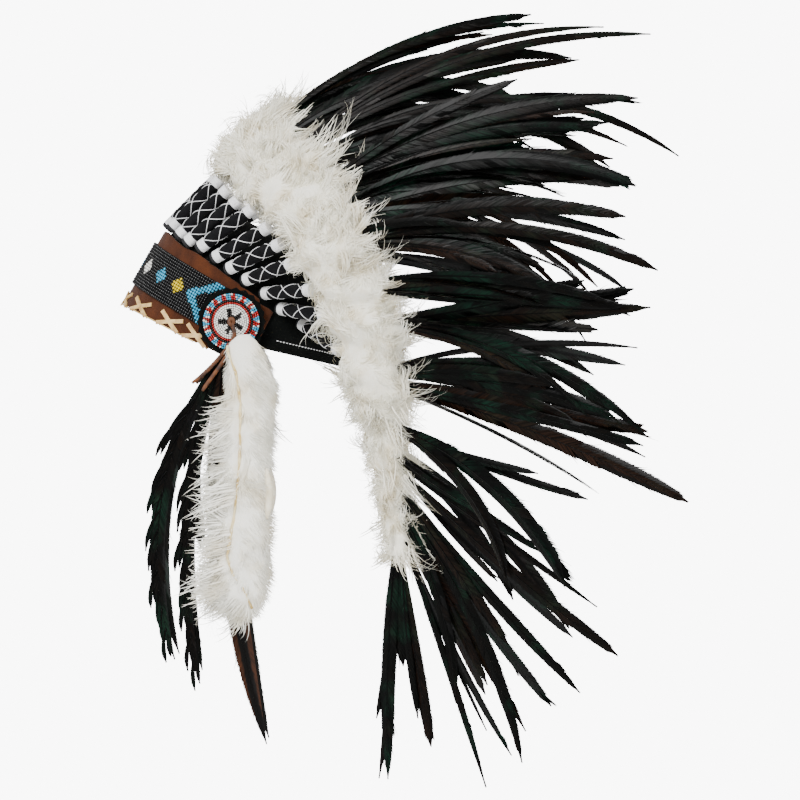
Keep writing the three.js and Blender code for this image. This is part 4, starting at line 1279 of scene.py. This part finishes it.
def swirl(points, size, weight):
    # ways that turn smoothly from place to place, so that neighbours lie together; this noise
    # starts from the clock, so the ways differ from run to run
    return np.array([noise.noise_vector(Vector(p / size)) for p in points]) * weight


def lumpySkin(name, grid, size, depth, material):
    rows, columns = grid.shape[:2]
    center = grid.mean(axis=1, keepdims=True).repeat(columns, axis=1).reshape(-1, 3)
    points = lumpy(grid.reshape(-1, 3), size, depth, center)
    return meshObject(name, *surface(points.reshape(rows, columns, 3)), material), points


# each coat: its strands, how many there are, how long (m), how they stand off and stray
coats = {
    "down": {
        "strand": (4, 0.0008, 2.2), "Per Square Metre": 185000.0, "Shortest": 0.008, "Longest": 0.021,
        "Lift": 0.16, "Mess": 0.2,
    },
    "wisps": {
        "strand": (6, 0.026, 2.3, 12, 0.045), "Per Square Metre": 8000.0, "Shortest": 0.022,
        "Longest": 0.046, "Lift": 0.16, "Mess": 0.25,
    },
    "plumes": {
        "strand": (8, 0.016, 1.1, 9, 0.07), "Per Square Metre": 5600.0, "Shortest": 0.026,
        "Longest": 0.06, "Lift": 0.1, "Mess": 0.45,
    },
    "hair": {
        "strand": (3, 0.0008, 0.7), "Per Square Metre": 420000.0, "Shortest": 0.006, "Longest": 0.014,
        "Lift": 0.04, "Mess": 0.1,
    },
    "locks": {
        "strand": (6, 0.024, 1.7, 8, 0.05), "Per Square Metre": 36000.0, "Shortest": 0.024,
        "Longest": 0.052, "Lift": 0.1, "Mess": 0.2,
    },
}


def coat(name, kind, skin, flow, cover, material, seed):
    # single strands are cut to their width, tufts grow wider with their length
    setField(skin.data, "flow", flow)
    setField(skin.data, "cover", cover)
    values = dict(coats[kind])
    strand = values.pop("strand")
    copy = strandCopy(name + "Strand", *strand)
    width = 1.0 if len(strand) == 3 else values["Longest"]
    values.update({"Copy": copy, "Material": materials[material], "Width": width, "Seed": seed})
    place(grown(name, skin, "strands", values), "white_" + material)
    withdraw(copy)


def makeFluff(name, grid, flow, cover, wild, seed):
    skin, points = lumpySkin(f"{name}_skin", grid, 21, 8.5, materials["fluff"])
    flow = np.asarray(flow)
    far = [max(0.0, w - 0.9) * 10 for w in wild]
    for i, (kind, hold, size, turn, where) in enumerate((
        ("down", 1, 17, 2.4, cover), ("wisps", 1.2, 30, 1.3, wild), ("plumes", 1.4, 40, 0.8, far),
    )):
        lay = flow * hold + swirl(points, size, turn)
        coat(f"{name}_{kind}", kind, skin, lay, where, "fluff", seed + i)
    place(skin, "white_fluff", [name])


def ringSkin():
    # sections across the fan of fluff, finer than the solid's, with a lobe at each quill
    share = np.linspace(0, len(frames) - 1, 230)
    index = np.clip(share.astype(int), 0, len(frames) - 2)
    part = (share - index)[:, None]
    keys = {key: np.array([f[key] for f in frames]) for key in ("top", "fluff", "out")}
    mixed = {key: values[index] * (1 - part) + values[index + 1] * part for key, values in keys.items()}
    sizes = np.interp(share, np.arange(len(frames)), [f["size"] for f in frames])
    grid, flow, cover, wild = [], [], [], []
    half = [
        (0.02, 0.2), (0.07, 0.5), (0.14, 0.72), (0.26, 0.94), (0.42, 0.96), (0.6, 0.9), (0.78, 0.72),
        (0.92, 0.44),
    ]
    section = [(d, t, 1) for d, t in half] + [(1.0, 0.05, 1)] + [(d, t, -1) for d, t in half[::-1]]
    for top, way, out, size in zip(mixed["top"], unit(mixed["fluff"]), unit(mixed["out"]), sizes):
        ring = []
        for depth, thick, hand in section:
            full = fluff["out"] if hand > 0 else fluff["in"]
            deep = fluff["lead"] + (fluff["depth"] * size * 0.93 - fluff["lead"]) * depth
            ring.append(top + way * deep + out * hand * thick * full * size * 0.84)
            lay = np.interp(depth, [0, 0.12, 0.3, 1], [-0.7, -0.6, 0.5, 1.1])
            flow.append(way * lay + out * hand * 0.15)
            cover.append(1.0)
            wild.append(np.interp(depth, [0, 0.1, 0.3, 0.6, 0.8, 1], [0.04, 0.12, 0.15, 0.35, 0.9, 1]))
        grid.append(ring)
    return np.array(grid), flow, cover, wild


makeFluff("plume_ring", *ringSkin(), 5)


def trailSkin(side):
    grid, flow, cover, wild = [], [], [], []
    section = [
        (-0.5, 0.3, 1), (-0.35, 0.75, 1), (-0.15, 1, 1), (0.1, 0.95, 1), (0.3, 0.7, 1), (0.48, 0.25, 1),
        (0.48, 0.25, -1), (0.3, 0.7, -1), (0.1, 0.95, -1), (-0.15, 1, -1), (-0.35, 0.75, -1), (-0.5, 0.3, -1),
    ]
    for share in np.linspace(0, 1, 60):
        f = trailFrame(side, share)
        ring = []
        for across, thick, hand in section:
            full = (fluff["out"] if hand > 0 else fluff["in"]) * f["thick"] * 0.9
            middle = f["place"] + f["across"] * across * f["width"] * 0.95
            ring.append(middle + f["out"] * hand * thick * full)
            flow.append(f["across"] * across * 1.4 + np.array([0, 0, -0.9]) + f["out"] * hand * 0.2)
            cover.append(1.0)
            wild.append(0.6 + 0.4 * (across > 0.2))
        grid.append(ring)
    return np.array(grid), flow, cover, wild


for side in sides:
    makeFluff(f"plume_trail_{side}", *trailSkin(side), 7)
print("fluff done")

# Fur drops: a folded strip of hide under long hair, with the hide's edge showing down its face

fur = {
    "length": 250, "width": 54, "thick": 22, "back": 11, "top": -14, "round": 0.06, "seam": 1.2,
    "seamDeep": 0.5, "bareFrom": 0.47, "bareTo": 0.65, "bareAt": 21, "bareWide": 4.2,
}
furSections = np.array([
    (0, 0.28, 0.28, 0.36), (0.05, 0.34, 0.4, 0.6), (0.15, 0.36, 0.62, 0.95), (0.24, 0.44, 0.56, 0.85),
    (0.34, 0.44, 0.48, 1), (0.44, 0.5, 0.5, 0.88), (0.54, 0.48, 0.44, 1), (0.64, 0.54, 0.48, 0.88),
    (0.74, 0.54, 0.42, 1), (0.84, 0.62, 0.46, 0.86), (0.93, 0.6, 0.38, 0.9), (1, 0.4, 0.2, 0.5),
])
# the seam's way down the strip, in shares of the fur's length and width
seamLine = (
    [0, 0.07, 0.13, 0.24, 0.44, 0.59, 0.79, 0.85, 0.91, 1],
    [-0.28, -0.24, -0.12, -0.04, -0.06, -0.12, -0.27, -0.17, 0.03, 0.2],
)


def furSpot(down, offset, out, side):
    return sidePoint(fur["back"] + offset, fur["top"] - fur["length"] * down, furIn + out, side)


def makeFur(side):
    grid, flow, cover, wild, wildFlow = [], [], [], [], []
    turns = np.linspace(0, 2 * math.pi, 41)[:-1]
    for down in np.linspace(-0.01, 1, 90):
        level = max(0, down)
        front, back, thick = columnsAt(furSections, level)
        front, back = front * 0.76, back * 0.84  # the rest of the form is loose hair
        near = min(1, (down + 0.015) / fur["round"], (1.005 - down) / fur["round"])
        end = math.sqrt(1 - (1 - near) ** 2)
        deep = fur["thick"] * thick / 2 * 0.88 * (0.4 + 0.6 * end)
        seam = np.interp(level, *seamLine) * fur["width"]
        ring = []
        for t in turns:
            x, y = math.cos(t), math.sin(t)
            x = math.copysign(abs(x) ** 0.8, x)
            offset = x * (front if x < 0 else back) * fur["width"] * 0.92 * end
            outer = y > 0
            groove = 1 - fur["seamDeep"] * math.exp(-(((offset - seam) / 4.5) ** 2)) * outer
            ring.append(furSpot(down, offset, fur["thick"] * thick / 2 + y * deep * groove, side))
            part = math.tanh((offset - seam) / 7) if outer else x
            flow.append([0.55 * part, sideSign[side] * 0.1 * y, -0.85])
            bare = math.exp(-(((offset - seam) / 2.4) ** 2)) * outer
            cover.append(1 - bare)
            edge = np.interp(x, [-1, -0.8, -0.5, 1], [1, 1, 0.1, 0])
            curl = 0.1 * math.exp(-(((level - 0.17) / 0.05) ** 2)) * (x > 0.8)
            wild.append(curl + edge * np.interp(level, [0, 0.17, 0.3, 0.95, 1], [0, 0, 0.7, 1, 1.6]))
            wildFlow.append([0.95 * x, sideSign[side] * 0.1 * y, -0.35 - 0.4 * (x > 0)])
        grid.append(ring)
    skin, points = lumpySkin(f"fur_strip_{side}", np.array(grid), 16, 2.2, materials["fur"])
    coat(f"fur_coat_{side}", "hair", skin, np.array(flow) + swirl(points, 22, 0.55), cover, "fur", 8)
    coat(f"fur_wisps_{side}", "locks", skin, np.array(wildFlow) + swirl(points, 14, 0.75), wild, "fur", 9)
    place(skin, "white_fur", [f"fur_drop_{side}"])

    # the hide's cut edge down the face, and its bare rolled edge low at the back
    steps = np.linspace(0.03, 0.97, 60)
    thick = np.interp(steps, furSections[:, 0], furSections[:, 3]) * fur["thick"] / 2
    line = np.array([
        furSpot(d, np.interp(d, *seamLine) * fur["width"], t * (1 + 0.88 * (1 - fur["seamDeep"])) + 0.5, side)
        for d, t in zip(steps, thick)
    ])
    line += swirl(line, 6, 0.9)
    seam = tube(line, fur["seam"] + 0.3 * np.sin(np.arange(60) * 1.3), 6)
    place(meshObject(f"fur_seam_{side}", *seam, materials["hide"]), "white_fur")
    share = np.linspace(0, 1, 14)
    downs = fur["bareFrom"] + (fur["bareTo"] - fur["bareFrom"]) * share
    offsets = fur["bareAt"] + 2 * np.sin(3 * share)
    spots = [furSpot(down, offset, fur["thick"] * 0.62, side) for down, offset in zip(downs, offsets)]
    edge = tube(spots, fur["bareWide"] * np.sin(math.pi * (0.04 + 0.92 * share)) ** 0.7, 10)
    place(meshObject(f"fur_bare_edge_{side}", *edge, materials["bareHide"]), "white_fur")


for side in sides:
    makeFur(side)
print("fur done")

# Feathers that hang with the fur


def dropLines(side):
    start = sidePoint(-6, -27.5, discIn + 1, side)
    face = outward(side)
    lines = []
    for first, last, spread, width, reach in (
        (-126, -70, 3, 15, 1), (-110, -78, 9, 8, 1.02), (-118, -74, 5, 9, 0.62),
    ):
        line = featherLine(start, (first, last), (0, spread), 290 * reach, side)
        lines.append((line, width, face, 0.1))
    lines.append((featherLine(start, (-98, -88), (0, 4), 150, side), 15, face, 0.9))
    for main, last in ((lines[0][0], 0.9), (lines[1][0], 0.94)):
        for share in np.linspace(0.16, last, 13):
            spot, way = [v[0] for v in along(main, np.array([share]))]
            angle = math.degrees(math.atan2(way[2], way[0]))
            flare = 22 + 9 * math.sin(37 * share)
            fray = featherLine(spot, (angle - flare, angle + 4), (0, 3), 46 * (1.15 - 0.55 * share), side)
            lines.append((fray, 4.6, face, 0.05))
    return lines


for side in sides:
    makeFeathers(f"drop_plume_feathers_{side}", dropLines(side), "black_feather", [f"drop_plume_{side}"], 60)
    start = sidePoint(4, -27.5, discIn + 1, side)
    line = {**featherLine(start, (-97, -73), (-1, -1), 355, side), "blunt": 0}
    lines = [(line, 21, outward(side), 0.6)]
    name, node = f"drop_quill_feather_{side}", f"drop_quill_{side}"
    makeFeathers(name, lines, "striped_feather", [node], 61, "striped")
print("drop feathers done")

# Floor and light

floorMesh = bpy.data.meshes.new("floor")
low = cadBox[0].z - 0.07
corners = [(-0.9, -1.1, low), (1.2, -1.1, low), (1.2, 1.1, low), (-0.9, 1.1, low)]
floorMesh.from_pydata(corners, [], [(0, 1, 2, 3)])
floorMesh.materials.append(plainMaterial("paleFloor", "#e9e9e7", 0.8))
floor = linked("floor", floorMesh)

world = bpy.data.worlds.new("paleStudio")
bpy.context.scene.world = world
world.use_nodes = True
# the backdrop that the camera sees is white, and what lights the part is dimmer
seen = addNode(world.node_tree, "ShaderNodeLightPath").outputs["Is Camera Ray"]
glow = addNode(world.node_tree, "ShaderNodeMapRange", None, {
    "Value": seen, "To Min": 0.62, "To Max": 9.0,
}).outputs["Result"]
world.node_tree.nodes["Background"].inputs["Color"].default_value = (1, 1, 1, 1)
world.node_tree.links.new(glow, world.node_tree.nodes["Background"].inputs["Strength"])


def softLight(name, spot, target, size, power):
    lamp = bpy.data.lights.new(name, "AREA")
    lamp.size = size
    lamp.energy = power
    thing = linked(name, lamp)
    thing.location = spot
    thing.rotation_euler = (Vector(target) - Vector(spot)).to_track_quat("-Z", "Y").to_euler()


softLight("keyLight", (-1.0, -1.8, 1.4), (0.1, 0, 0), 1.0, 88)
softLight("fillLight", (1.4, -1.6, 0.3), (0.15, 0, -0.1), 1.4, 34)
softLight("backLight", (0.6, 1.8, 1.2), (0.1, 0, 0), 1.2, 44)
